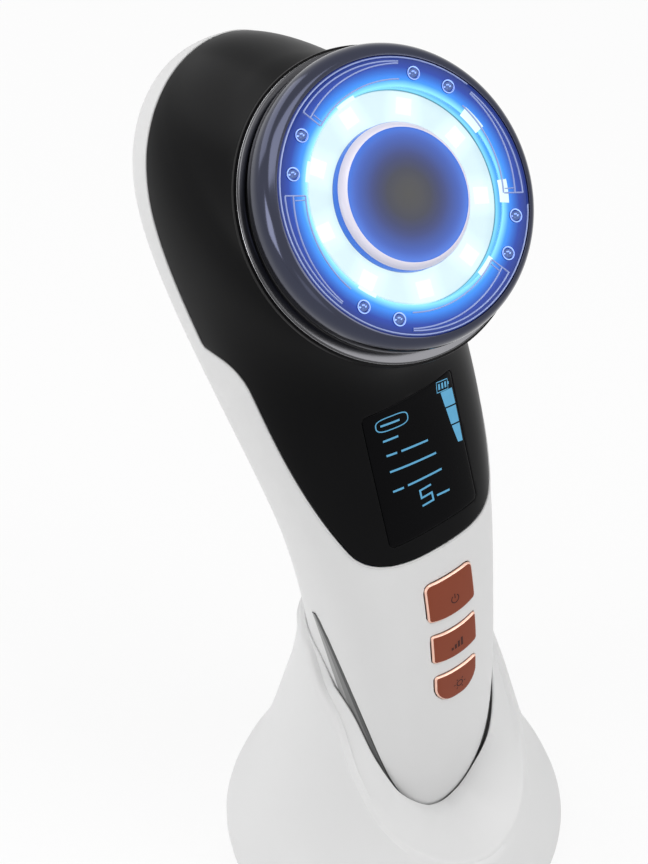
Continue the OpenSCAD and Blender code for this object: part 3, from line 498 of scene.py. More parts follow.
def arc(centre, r, start, end, n=6):
    """Points of an arc of a profile, with both of its ends."""
    turns = [math.radians(start + (end - start) * i / n) for i in range(n + 1)]
    return [(centre[0] + r * math.cos(a), centre[1] + r * math.sin(a)) for a in turns]


# Shader maths

GRAIN_DEPTH = 0.0002  # metres of relief that a bump of full strength stands for
GLOSS_SPREAD = 0.06  # how far the clouds of a grained finish move its roughness


def maths(operation, swap=False):
    """A function that feeds wires and numbers to a maths node, in swapped order if asked."""
    def method(self, *others):
        values = (*others, self) if swap else (self, *others)
        return self.board.node("ShaderNodeMath", {"operation": operation}, dict(enumerate(values)))
    return method


class Wire:
    """A node's output, so that shader maths reads as plain expressions."""

    def __init__(self, board, socket):
        self.board, self.socket = board, socket

    __add__, __radd__ = maths("ADD"), maths("ADD", swap=True)
    __sub__, __rsub__ = maths("SUBTRACT"), maths("SUBTRACT", swap=True)
    __mul__, __rmul__ = maths("MULTIPLY"), maths("MULTIPLY", swap=True)
    __truediv__, __rtruediv__ = maths("DIVIDE"), maths("DIVIDE", swap=True)
    __pow__, __rpow__ = maths("POWER"), maths("POWER", swap=True)
    __mod__, __rmod__ = maths("FLOORED_MODULO"), maths("FLOORED_MODULO", swap=True)
    __abs__ = maths("ABSOLUTE")


class Board:
    """A node tree under construction."""

    def __init__(self, tree):
        self.tree = tree

    def node(self, kind, settings, values, out=0):
        """Adds a node: its settings first, then the values or links of its sockets."""
        new = self.tree.nodes.new(kind)
        for key, value in settings.items():
            if key == "stops":
                elements = new.color_ramp.elements
                while len(elements) < len(value):
                    elements.new(0.5)
                for element, (place, colour) in zip(elements, value):
                    element.position, element.color = place, (*colour, 1.0)
            else:
                setattr(new, key, value)
        for key, value in values.items():
            if isinstance(value, Wire):
                self.tree.links.new(value.socket, new.inputs[key])
            else:
                new.inputs[key].default_value = value
        return Wire(self, new.outputs[out])

    def whitened(self, plain, white, output, share=1.0):
        """Shows white to the camera and in reflections, and plain to every other ray."""
        seen = [self.node("ShaderNodeLightPath", {}, {}, out=f"Is {kind} Ray")
                for kind in ("Camera", "Glossy", "Transmission")]
        factor = (seen[0] + seen[1] + seen[2]) * share
        mix = self.node("ShaderNodeMixShader", {}, {0: factor, 1: Wire(self, plain.outputs[0]), 2: white})
        self.tree.links.new(mix.socket, self.tree.nodes[output].inputs["Surface"])


FINISHES = {}


class Paint(Board):
    """A material under construction, with its one glossy shader. It is kept in FINISHES."""

    def __init__(self, name, colour, roughness, metallic=0.0, level=0.5):
        self.material = FINISHES[name] = bpy.data.materials.new(name)
        self.material.use_nodes = True
        super().__init__(self.material.node_tree)
        self.shader = self.tree.nodes["Principled BSDF"]
        for key, value in {"Base Color": (*colour[:3], 1.0), "Roughness": roughness, "Metallic": metallic,
                           "Specular IOR Level": level, "IOR": 1.5}.items():
            self.shader.inputs[key].default_value = value

    def ramp(self, factor, *stops):
        """Colours over a factor, from stops of (place, colour)."""
        return self.node("ShaderNodeValToRGB", {"stops": stops}, {"Fac": factor})

    def feed(self, name, wire):
        self.tree.links.new(wire.socket, self.shader.inputs[name])

    def place(self):
        return self.node("ShaderNodeTexCoord", {}, {}, out="Object")

    def noise(self, scale, detail=2.0, stretch=None):
        place = self.place()
        if stretch is not None:
            place = self.node("ShaderNodeVectorMath", {"operation": "MULTIPLY"}, {0: place, 1: stretch})
        return self.node("ShaderNodeTexNoise", {}, {"Vector": place, "Scale": scale, "Detail": detail})

    def blend(self, factor, a, b):
        """A mix of two colours."""
        a, b = (v if isinstance(v, Wire) else (*v[:3], 1.0) for v in (a, b))
        return self.node("ShaderNodeMix", {"data_type": "RGBA"}, {0: factor, 6: a, 7: b}, out=2)

    def step(self, value, low, high):
        """Smooth step of a value from 0 at low to 1 at high."""
        return self.node("ShaderNodeMapRange", {"interpolation_type": "SMOOTHSTEP"}, {
            "Value": value, "From Min": low, "From Max": high})

    def dot(self, direction, centre):
        """Distance along a direction from a centre, in millimetres."""
        place = self.node("ShaderNodeVectorMath", {"operation": "SUBTRACT"}, {
            0: self.place(), 1: [v * MM for v in centre]})
        return self.node("ShaderNodeVectorMath", {"operation": "DOT_PRODUCT"}, {
            0: place, 1: list(direction)}, out="Value") * (1 / MM)

    def from_axis(self):
        """Place to the side and up from the head's axis, and distance from it, in millimetres."""
        x, y = self.dot(SIDE, LENS), self.dot(RISE, LENS)
        return x, y, (x * x + y * y) ** 0.5

    def bump(self, height, strength):
        self.feed("Normal", self.node("ShaderNodeBump", {}, {
            "Strength": strength, "Distance": GRAIN_DEPTH, "Height": height}))

    def glow(self, colour, strength):
        self.feed("Emission Color", colour)
        self.shader.inputs["Emission Strength"].default_value = strength


def grained(name, colour, roughness, metallic=0.0, grain=2600.0, strength=0.05, mottle=0.03,
            stretch=None, level=0.5):
    """A moulded, cast or brushed finish: fine grain in the bump, slow clouds in colour and gloss."""
    paint = Paint(name, colour, roughness, metallic, level)
    fine, slow = paint.noise(grain, 3, stretch), paint.noise(60, 3)
    shade = [max(0.0, c * (1 - mottle)) for c in colour[:3]]
    light = [min(1.0, c * (1 + mottle)) for c in colour[:3]]
    paint.feed("Base Color", paint.blend(slow, shade, light))
    paint.feed("Roughness", (slow - 0.5) * GLOSS_SPREAD + (fine - 0.5) * (GLOSS_SPREAD / 2) + roughness)
    paint.bump(fine, strength)
    return paint


def shown(name, part, finishes, body, stands_for=(), marks=None, crease=32):
    """A finished piece in the row frame, riding on a body."""
    points, faces = part
    mesh = bpy.data.meshes.new(name)
    mesh.from_pydata((np.asarray(points) * MM).tolist(), [], [list(map(int, f)) for f in faces])
    for finish in finishes:
        mesh.materials.append(FINISHES[finish])
    if marks is not None:
        mesh.polygons.foreach_set("material_index", list(marks))
    mesh.polygons.foreach_set("use_smooth", [True] * len(mesh.polygons))
    mesh.set_sharp_from_angle(angle=math.radians(crease))
    mesh.update()
    obj = bpy.data.objects.new(name, mesh)
    bpy.context.scene.collection.objects.link(obj)
    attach(obj, body)
    if stands_for:
        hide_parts(*stands_for)


# Settings that a user changes


def length(name, description, default, least):
    return FloatProperty(name=name, description=description, default=default, min=least, unit="LENGTH")


def tint(name, description, *default):
    return FloatVectorProperty(name=name, description=description, subtype="COLOR", default=default, min=0, max=1)


class DeviceSizes(bpy.types.PropertyGroup):
    """Sizes of the visible detail."""

    shell_gap: length("Shell gap", "Gap between the shells and the cover", 0.00012, 0)
    edge_line: length("Edge line", "Radius of the bright line along the cover", 0.00024, 0.0001)
    key_up: length("Button height", "How far a button stands out of the shell", 0.0005, 0.0003)
    key_bevel: length("Button bevel", "Width of a button's sloped edge", 0.00034, 0.0002)
    strip_up: length("Strip height", "How far a side strip stands out", 0.00025, 0.0001)
    dome_r: length("Electrode radius", "Radius of an electrode dome", 0.0014, 0.0008)
    line_w: length("Lens line", "Width of the raised lines on the lens", 0.00032, 0.0002)
    led_count: IntProperty(name="LEDs", description="Number of LEDs under the lens", default=9, min=3)


class DeviceColours(bpy.types.PropertyGroup):
    """Colours and light of the visible finishes."""

    shell: tint("Shell", "White shell", 0.72, 0.72, 0.72)
    stand: tint("Stand", "Charging stand", 0.74, 0.74, 0.74)
    cover: tint("Cover", "Dark head cover", 0.005, 0.005, 0.0055)
    button: tint("Button", "Face of the buttons", 0.240, 0.058, 0.030)
    bevel: tint("Button bevel", "Sloped edge of the buttons", 0.90, 0.56, 0.44)
    light: tint("Light", "Light of the ring", 0.80, 0.98, 1.0)
    symbol: tint("Symbols", "Lit symbols of the display", 0.12, 0.38, 0.60)
    light_strength: FloatProperty(name="Light strength", description="Brightness of the ring",
                                  default=1.0, min=0)


def sizes():
    return bpy.context.scene.device_sizes


def colours():
    return bpy.context.scene.device_colours


def mm(value):
    return value / MM


# Finishes

LED_RING_R, LED_START = 17.5, 17.3  # millimetres from the axis, and degrees to the first LED


def make_lens_paint(name, light):
    """Clear lens: clear over the light, then blue to pale violet towards its edge. Past the lit ring it glows cyan to
    deep blue: a painted glow of the ring's light.
    """
    paint = Paint(name, (0.02, 0.04, 0.14), 0.07, level=0.12)
    _, _, r = paint.from_axis()
    cloud = paint.noise(90)
    t = (r - 14.0) / 13.0
    # base colour: the lens's own blue tint, partly painted glow of the ring's light where it is bluest, just past the
    # ring
    paint.feed("Base Color", paint.ramp(
        t, (0.0, (0.02, 0.05, 0.16)), (0.5, (0.02, 0.10, 0.30)), (0.7, (0.01, 0.025, 0.12)),
        (0.93, (0.008, 0.012, 0.06)), (0.955, (0.10, 0.11, 0.25)), (1.0, (0.01, 0.012, 0.04))))
    # painted glow: the ring's light painted into the lens as emission, bright cyan just past the ring, fading to deep
    # blue at the edge
    paint.glow(paint.ramp(
        t + (cloud - 0.5) * 0.05, (0.0, (0.0, 0.0, 0.0)), (0.45, (0.0, 0.0, 0.0)), (0.5, (0.30, 0.85, 1.0)),
        (0.6, (0.03, 0.27, 0.9)), (0.78, (0.004, 0.04, 0.33)), (1.0, (0.001, 0.007, 0.07))), light)
    paint.feed("Alpha", paint.step(r, 20.0, 20.7) * 0.94 + 0.04)
    paint.feed("Roughness", (cloud - 0.5) * 0.06 + 0.08)
    paint.bump(paint.noise(500), 0.02)


def make_guide_paint(name, light, colour, count):
    """Lit diffusing ring with a whiter square over each LED."""
    paint = Paint(name, colour, 0.4)
    x, y, r = paint.from_axis()
    pitch = 2 * math.pi / count
    off = (maths("ARCTAN2")(y, x) - (math.radians(LED_START) - pitch / 2)) % pitch - pitch / 2
    along_r, across = r * maths("COSINE")(off) - LED_RING_R, r * maths("SINE")(off)
    square = maths("MAXIMUM")(abs(along_r), abs(across))
    near, wide = 1 - paint.step(square, 1.2, 1.8), 1 - paint.step(square, 1.2, 5.0)
    cloud = paint.noise(420)
    body = paint.blend(wide + (cloud - 0.5) * 0.3, [0.9 * c for c in colour], [1.06 * c for c in colour])
    paint.feed("Base Color", paint.blend(near, (0.02, 0.06, 0.08), (0.1, 0.12, 0.12)))
    paint.glow(paint.blend(near, body, (1.1, 1.1, 1.1)), light)
    paint.feed("Roughness", cloud * 0.1 + 0.35)


def make_plate_paint(name, light):
    """Dark polished plate, with a painted glow of the ring's blue light towards its edge in both base colour and
    emission.
    """
    paint = Paint(name, (0.05, 0.05, 0.05), 0.2, level=0.2)
    _, _, r = paint.from_axis()
    cloud = paint.noise(120)
    t = r / 13.0 + (cloud - 0.5) * 0.05
    # base colour turns blue towards the edge: painted reflection of the ring's light on the dark plate
    paint.feed("Base Color", paint.ramp(
        t, (0.0, (0.05, 0.05, 0.05)), (0.2, (0.045, 0.046, 0.05)), (0.5, (0.02, 0.025, 0.06)),
        (0.8, (0.02, 0.04, 0.16)), (1.0, (0.04, 0.08, 0.28))))
    # painted glow: the ring's blue light painted onto the plate as emission, strongest at its edge
    paint.glow(paint.ramp(
        t, (0.0, (0.0, 0.0, 0.0)), (0.35, (0.0, 0.001, 0.01)), (0.6, (0.004, 0.015, 0.11)),
        (0.85, (0.012, 0.06, 0.32)), (1.0, (0.03, 0.14, 0.55))), light)
    paint.feed("Roughness", (cloud - 0.5) * 0.08 + 0.2)
    paint.bump(paint.noise(700, stretch=(1, 0.1, 0.1)), 0.01)


def make_finishes():
    """Makes every finish, with the user's own colours where there are some."""
    colour, light = colours(), colours().light_strength
    metal, lengthwise = {"metallic": 1.0, "grain": 1500}, (0.1, 0.1, 1)
    shell = {"strength": 0.03, "mottle": 0.008}
    for name, base, roughness, more in (
        ("white_shell", colour.shell, 0.42, {**shell, "level": 0.35}),
        ("stand_plastic", colour.stand, 0.46, {**shell, "level": 0.3}),
        ("base_plastic", (0.55, 0.55, 0.57), 0.55, {"strength": 0.15}),
        ("black_cover", [0.7 * c for c in colour.cover], 0.34, {"strength": 0.02, "mottle": 0.1, "level": 0.055}),
        ("edge_line", (0.62, 0.62, 0.62), 0.3, {"strength": 0.01}),
        ("display_window", (0.002, 0.002, 0.0025), 0.2,
         {"grain": 900, "strength": 0.004, "mottle": 0.1, "level": 0.04}),
        ("chrome", (0.08, 0.08, 0.085), 0.2, {**metal, "strength": 0.01}),
        # a lighter copy of the chrome, only for the painted highlight along the trim's rounded edge
        ("chrome_painted_highlight", (0.5, 0.5, 0.52), 0.2, {**metal, "strength": 0.01}),
        ("bezel_chrome", (0.05, 0.054, 0.08), 0.15, {**metal, "grain": 400, "strength": 0.006, "mottle": 0.1}),
        ("black_plastic", (0.02, 0.02, 0.022), 0.5, {"strength": 0.2}),
        ("electrode_metal", (0.12, 0.18, 0.42), 0.12, {**metal, "grain": 2200, "strength": 0.02}),
        ("plate_bevel", (0.84, 0.80, 0.90), 0.3, {"strength": 0.01}),
        ("circuit_board", (0.03, 0.16, 0.09), 0.4, {"grain": 900, "strength": 0.4, "mottle": 0.3}),
        ("ceramic", (0.82, 0.82, 0.79), 0.7, {"grain": 3000, "strength": 0.3}),
        ("aluminium", (0.66, 0.67, 0.69), 0.38,
         {**metal, "grain": 900, "strength": 0.08, "stretch": (1, 0.05, 0.05)}),
        ("button_metal", colour.button, 0.42, {"grain": 3400, "level": 0.08, "stretch": (1, 0.15, 0.15)}),
        ("button_bevel", colour.bevel, 0.3, {"metallic": 0.3, "grain": 2000, "strength": 0.02}),
        ("steel", (0.46, 0.46, 0.48), 0.32, {**metal, "strength": 0.08}),
        ("battery_wrap", (0.06, 0.12, 0.36), 0.35, {"grain": 300, "strength": 0.1}),
        ("side_strip", (0.20, 0.20, 0.20), 0.45, {"metallic": 0.5, "strength": 0.06, "stretch": lengthwise}),
        # lighter copy of the strip metal for the half of each strip from its middle line to its rear edge: painted
        # light
        ("strip_painted_light", (0.34, 0.34, 0.34), 0.4, {"metallic": 0.6, "stretch": lengthwise}),
        ("strip_edge", (0.07, 0.07, 0.07), 0.3, {"strength": 0.02}),
        ("contact_gold", (0.78, 0.55, 0.22), 0.2, {"metallic": 1.0, "strength": 0.03}),
        ("rubber", (0.03, 0.03, 0.033), 0.8, {"grain": 1800, "strength": 0.5}),
        ("ballast_iron", (0.2, 0.2, 0.21), 0.6, {"metallic": 0.7, "grain": 1200, "strength": 0.6}),
        ("lens_line", (0.34, 0.42, 0.74), 0.25, {"strength": 0.01}),
        ("key_symbol", (0.05, 0.012, 0.008), 0.5, {"strength": 0.02, "level": 0.15}),
    ):
        grained(name, base, roughness, **more)
    make_plate_paint("treatment_plate", light)
    make_lens_paint("clear_lens", light)
    make_guide_paint("light_guide", light, colour.light, sizes().led_count)
    symbol = grained("display_symbol", [0.2 * c for c in colour.symbol], 0.5, strength=0.01, level=0.05)
    symbol.glow(symbol.blend(symbol.noise(700), [0.8 * c for c in colour.symbol], colour.symbol), 0.95)
    led = grained("led_light", (0.9, 0.98, 1.0), 0.3, strength=0.02)
    led.glow(led.blend(led.noise(300), (0.8, 0.95, 1), (1, 1, 1)), 1.2)


# The solids that are shown as they are, under the finish that each one gets
CARRIED = {
    "steel": ("display_module", "switches", "board_screws", "base_screws", "power_inlet"),
    "black_plastic": ("ring_spacer", "fan_frame", "fan_rotor", "plunger_top", "plunger_middle", "plunger_low",
                      "battery_tray", "pin_holder"),
    "circuit_board": ("led_board", "main_board", "charge_board"),
    "contact_gold": ("charge_contacts", "charge_pin_left", "charge_pin_right"),
    "led_light": ("leds",), "ceramic": ("cooler",), "aluminium": ("heat_sink",), "battery_wrap": ("battery_cell",),
    "base_plastic": ("base_plate",), "rubber": ("rubber_pad",), "ballast_iron": ("ballast",),
}


class DEVICE_OT_finishes(bpy.types.Operator):
    """Make every finish and give the inner parts theirs"""

    bl_idname = "device.finishes"
    bl_label = "Finishes"

    def execute(self, context):
        make_finishes()
        for finish, nodes in CARRIED.items():
            for node in nodes:
                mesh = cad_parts[node].data
                mesh.materials.clear()
                mesh.materials.append(FINISHES[finish])
        return {"FINISHED"}


LIP = [(0.06, 0.02), (0.12, 0.08), (0.15, 0.2), (-0.05, 0.5), (-0.3, 1.0)]
KEY_GAP, STRIP_GAP = 0.34, 0.28
KEY_REACH, WINDOW_REACH = 8, 12  # how deep an opening cuts, so that the back stays whole
GRILLE_R, SLOT_PITCH, SLOT_R, GRILLE_DEPTH = 16.0, 5.0, 1.1, 40
ROWS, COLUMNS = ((150, 176))


def front_holes(points):
    """Distance outside the buttons' and strips' openings."""
    keep = distance(strip_outline(STRIP_GAP), points[:, 1:3])
    for i, plane in enumerate(KEYS):
        local = plane.local(points)
        outline = distance(key_outline(i, KEY_GAP), local[:, :2])
        keep = np.minimum(keep, np.maximum(outline, -KEY_REACH - local[:, 2]))
    return keep


def vents(points):
    """Distance outside the round grille of slots at the back of the head."""
    local = points - LENS
    x, y, depth = local @ SIDE, local @ RISE, -(local @ FACE)
    keep = np.full(len(points), 50.0)
    for k in range(-2, 3):
        half = math.sqrt(GRILLE_R**2 - (SLOT_PITCH * k) ** 2) - 2 * SLOT_R
        d = np.hypot(x - SLOT_PITCH * k, np.maximum(np.abs(y) - half, 0)) - SLOT_R
        keep = np.minimum(keep, d)
    return np.maximum(keep, GRILLE_DEPTH - depth)


def cover_gap():
    """How far the shells and the cover are each cut back from the cover's outline."""
    return mm(sizes().shell_gap) + 0.15


class DEVICE_OT_shells(bpy.types.Operator):
    """Build the white front and rear shells with their openings"""

    bl_idname = "device.shells"
    bl_label = "Shells"

    def execute(self, context):
        gap = cover_gap()
        params, faces = body_net(0, 13, ROWS, COLUMNS)
        for cut in (lambda p: distance(COVER_OUTLINE, p[:, 1:3]) - gap, front_holes, vents):
            params, faces = trimmed(params, faces, cut(body_surface(params)))
        edge_points = body_surface(params)
        if not faces:
            raise RuntimeError("the shells came out empty")
        for name, side in (("front_shell", 1), ("rear_shell", -1)):
            value = side * distance(REAR_OUTLINE, edge_points[:, 1:3]) - 0.03
            own, own_faces = trimmed(params, faces, value)
            points = body_surface(own)
            part = lipped(points, own_faces, LIP, skip=lambda p: p[2] < FOOT_Z + 0.01)
            shown(name + "_skin", part, ["white_shell"], "handpiece", (name,))
        self.foot()
        self.edge_line(edge_points, faces)
        return {"FINISHED"}

    def foot(self):
        """The flat foot of the grip, slightly dished round its contacts."""
        a = circle(96)
        ring = body_surface(np.column_stack([0 * a, np.cos(a), np.sin(a)]))
        points, faces = domed([ring] + [inner + [0, 0, 0.12] for inner in shrunk(ring, (0.96, 0.3))])
        shown("grip_foot", (points, [f[::-1] for f in faces]), ["white_shell"], "handpiece")

    def edge_line(self, points, faces):
        """The bright bead along the shells where the cover begins."""
        near = np.abs(distance(COVER_OUTLINE, points[:, 1:3]) - cover_gap()) < 0.05
        edges = [e for e in open_edges(faces) if near[e[0]] and near[e[1]]]
        sunk = points - 0.05 * normals_of(points, faces)
        parts = [tube(sunk[chain], mm(sizes().edge_line)) for chain in chains(edges) if len(chain) > 12]
        shown("cover_edge_line", joined(parts), ["edge_line"], "handpiece")


class DEVICE_OT_cover(bpy.types.Operator):
    """Build the dark cover with its opening for the display and its flared collar"""

    bl_idname = "device.cover"
    bl_label = "Head cover"

    def execute(self, context):
        gap = cover_gap()
        params, faces = body_net(5, LAST, ROWS + 20, COLUMNS)
        hole = window_rect(0.3, 1.1)

        def opening(points):
            local = WINDOW.local(points)
            return np.maximum(distance(hole, local[:, :2]), -WINDOW_REACH - local[:, 2])

        for cut in (lambda p: -distance(COVER_OUTLINE, p[:, 1:3]) - gap, opening):
            params, faces = trimmed(params, faces, cut(body_surface(params)))
        points = body_surface(params)
        local = points - LENS
        flat = local - np.multiply.outer(local @ FACE, FACE)
        rim = {v for v, s in enumerate(params[:, 0]) if s > LAST - 0.001}
        edges = [e for e in open_edges(faces) if e[0] in rim and e[1] in rim]
        rows = [{v: LENS + flat[v] * scale - (NECK_D + deeper) * FACE for v in rim}
                for scale, deeper in ((0.985, 0.0), (0.86, 0.0), (0.85, 4.0))]
        skin = lipped(points, faces, LIP, skip=lambda p: abs(-(p - LENS) @ FACE - NECK_D) < 0.01)
        shown("cover_skin", walled(*skin, edges, rows), ["black_cover"], "handpiece", ("head_cover",))
        self.ledge()
        return {"FINISHED"}

    def ledge(self):
        """The dark ledge under the window, which closes the gap round it."""
        rings = [drape(WINDOW, window_rect(grow, r), -1.0) for grow, r in ((0.7, 1.2), (-2, 1.0))]
        shown("window_ledge", (np.vstack(rings), net(2, len(rings[0]))), ["black_cover"], "handpiece")


MARK_LIFT = 0.05

# Marks of the display, as corners from the upper left round to the lower left
ROWS_LIT = [
    [(-8.1, 8.7), (-4.6, 8.4), (-4.6, 7.95), (-8.1, 8.25)],
    [(-8.0, 5.35), (-5.6, 5.05), (-5.6, 4.6), (-8.0, 4.9)], [(-4.6, 4.9), (2.0, 4.05), (2.0, 3.6), (-4.6, 4.45)],
    [(-8.0, 1.65), (3.3, 0.4), (3.3, -0.05), (-8.0, 1.2)],
    [(-8.3, -2.8), (-5.8, -3.0), (-5.8, -3.45), (-8.3, -3.25)],
    [(-4.8, -3.0), (3.8, -3.6), (3.8, -4.05), (-4.8, -3.45)],
    [(1.3, -8.5), (4.6, -8.9), (4.6, -9.35), (1.3, -8.95)],
]
LEVEL_BARS = [
    [(7.4, 11.9), (10.8, 11.2), (10.95, 7.5), (7.95, 8.2)],
    [(8.05, 7.85), (10.95, 7.15), (10.95, 3.35), (8.6, 3.85)],
    [(8.7, 3.5), (10.95, 3.0), (10.85, -1.1), (9.5, -0.7)],
    [(7.1, 14.0), (7.6, 13.9), (7.5, 12.6), (7.0, 12.7)], [(8.0, 13.8), (8.5, 13.7), (8.4, 12.4), (7.9, 12.5)],
    [(8.9, 13.6), (9.4, 13.5), (9.3, 12.2), (8.8, 12.3)], [(9.9, 13.1), (10.2, 13.0), (10.15, 12.4), (9.85, 12.5)],
]


def upright(x0, y0, x1, y1):
    """Corners of an upright rectangle, in the order of those above."""
    return [(x0, y1), (x1, y1), (x1, y0), (x0, y0)]


def sheet(plane, corners, lift, across=6, down=3):
    """A thin patch between four corners, laid on the body."""
    a, b, c, d = (np.array(p, float) for p in corners)
    flat = [((1 - u) * (1 - v)) * a + u * (1 - v) * b + u * v * c + (1 - u) * v * d
            for v in np.linspace(0, 1, down) for u in np.linspace(0, 1, across)]
    return drape(plane, flat, lift), [f[::-1] for f in net(down, across, turn=False)]


def beside(way):
    """Unit vectors at a right angle to the ways of a plane line."""
    way = unit(way)
    return np.column_stack([-way[:, 1], way[:, 0]])


def stroke(plane, line, width, lift, closed=False):
    """A thin line of even width, laid on the body."""
    line = np.asarray(line, float)
    way = np.roll(line, -1, axis=0) - np.roll(line, 1, axis=0) if closed else np.gradient(line, axis=0)
    side = beside(way) * width / 2
    return drape(plane, np.vstack([line - side, line + side]), lift), net(2, len(line), turn=closed)


class DEVICE_OT_display(bpy.types.Operator):
    """Build the smoked window and the plain lit marks behind it"""

    bl_idname = "device.display"
    bl_label = "Display"

    def execute(self, context):
        rings = [(0, -1.8), (0, -0.3), (0.08, -0.12), (0.22, -0.02), (0.45, 0.0)]
        stack = [drape(WINDOW, window_rect(-2 * g, 1.0), up) for g, up in rings]
        outline = window_rect(-0.9, 1.0)
        stack += [drape(WINDOW, outline * k, 0.0) for k in (0.93, 0.84, 0.72, 0.6, 0.46, 0.32, 0.18, 0.05)]
        shown("display_glass", domed(stack), ["display_window"], "handpiece", ("display_window",))
        lift = MARK_LIFT
        parts = [sheet(WINDOW, c, lift) for c in ROWS_LIT + LEVEL_BARS]
        t = circle(40)
        pill = np.column_stack([-5.3 + 3.7 * bent(np.cos(t), 0.55), 11.7 + 1.45 * bent(np.sin(t), 0.7)])
        pill[:, 1] -= 0.1 * (pill[:, 0] + 5.3)
        parts.append(stroke(WINDOW, pill, 0.24, lift, closed=True))
        parts.append(sheet(WINDOW, [(-8.0, 12.2), (-3.6, 11.7), (-3.6, 11.25), (-8.0, 11.75)], lift))
        cell = np.array([(6.7, 14.6), (9.9, 13.8), (9.7, 11.6), (6.5, 12.3)])
        halfway = cell + (np.roll(cell, -1, 0) - cell) * 0.5
        parts.append(stroke(WINDOW, np.stack([cell, halfway], axis=1).reshape(-1, 2), 0.2, lift, closed=True))
        parts.append(self.figure())
        shown("display_marks", joined(parts), ["display_symbol"], "handpiece")
        return {"FINISHED"}

    def figure(self):
        """A plain seven-segment figure."""
        x0, x1, y0, y1 = -2.6, 0.45, -9.4, -5.5
        mid, w = (y0 + y1) / 2, 0.42
        bars = [(x0, y1 - w, x1, y1), (x0, mid - w / 2, x1, mid + w / 2), (x0, y0, x1, y0 + w),
                (x0, mid, x0 + w, y1), (x1 - w, y0, x1, mid)]
        return joined([sheet(WINDOW, upright(*bar), MARK_LIFT + 0.004 * k) for k, bar in enumerate(bars)])


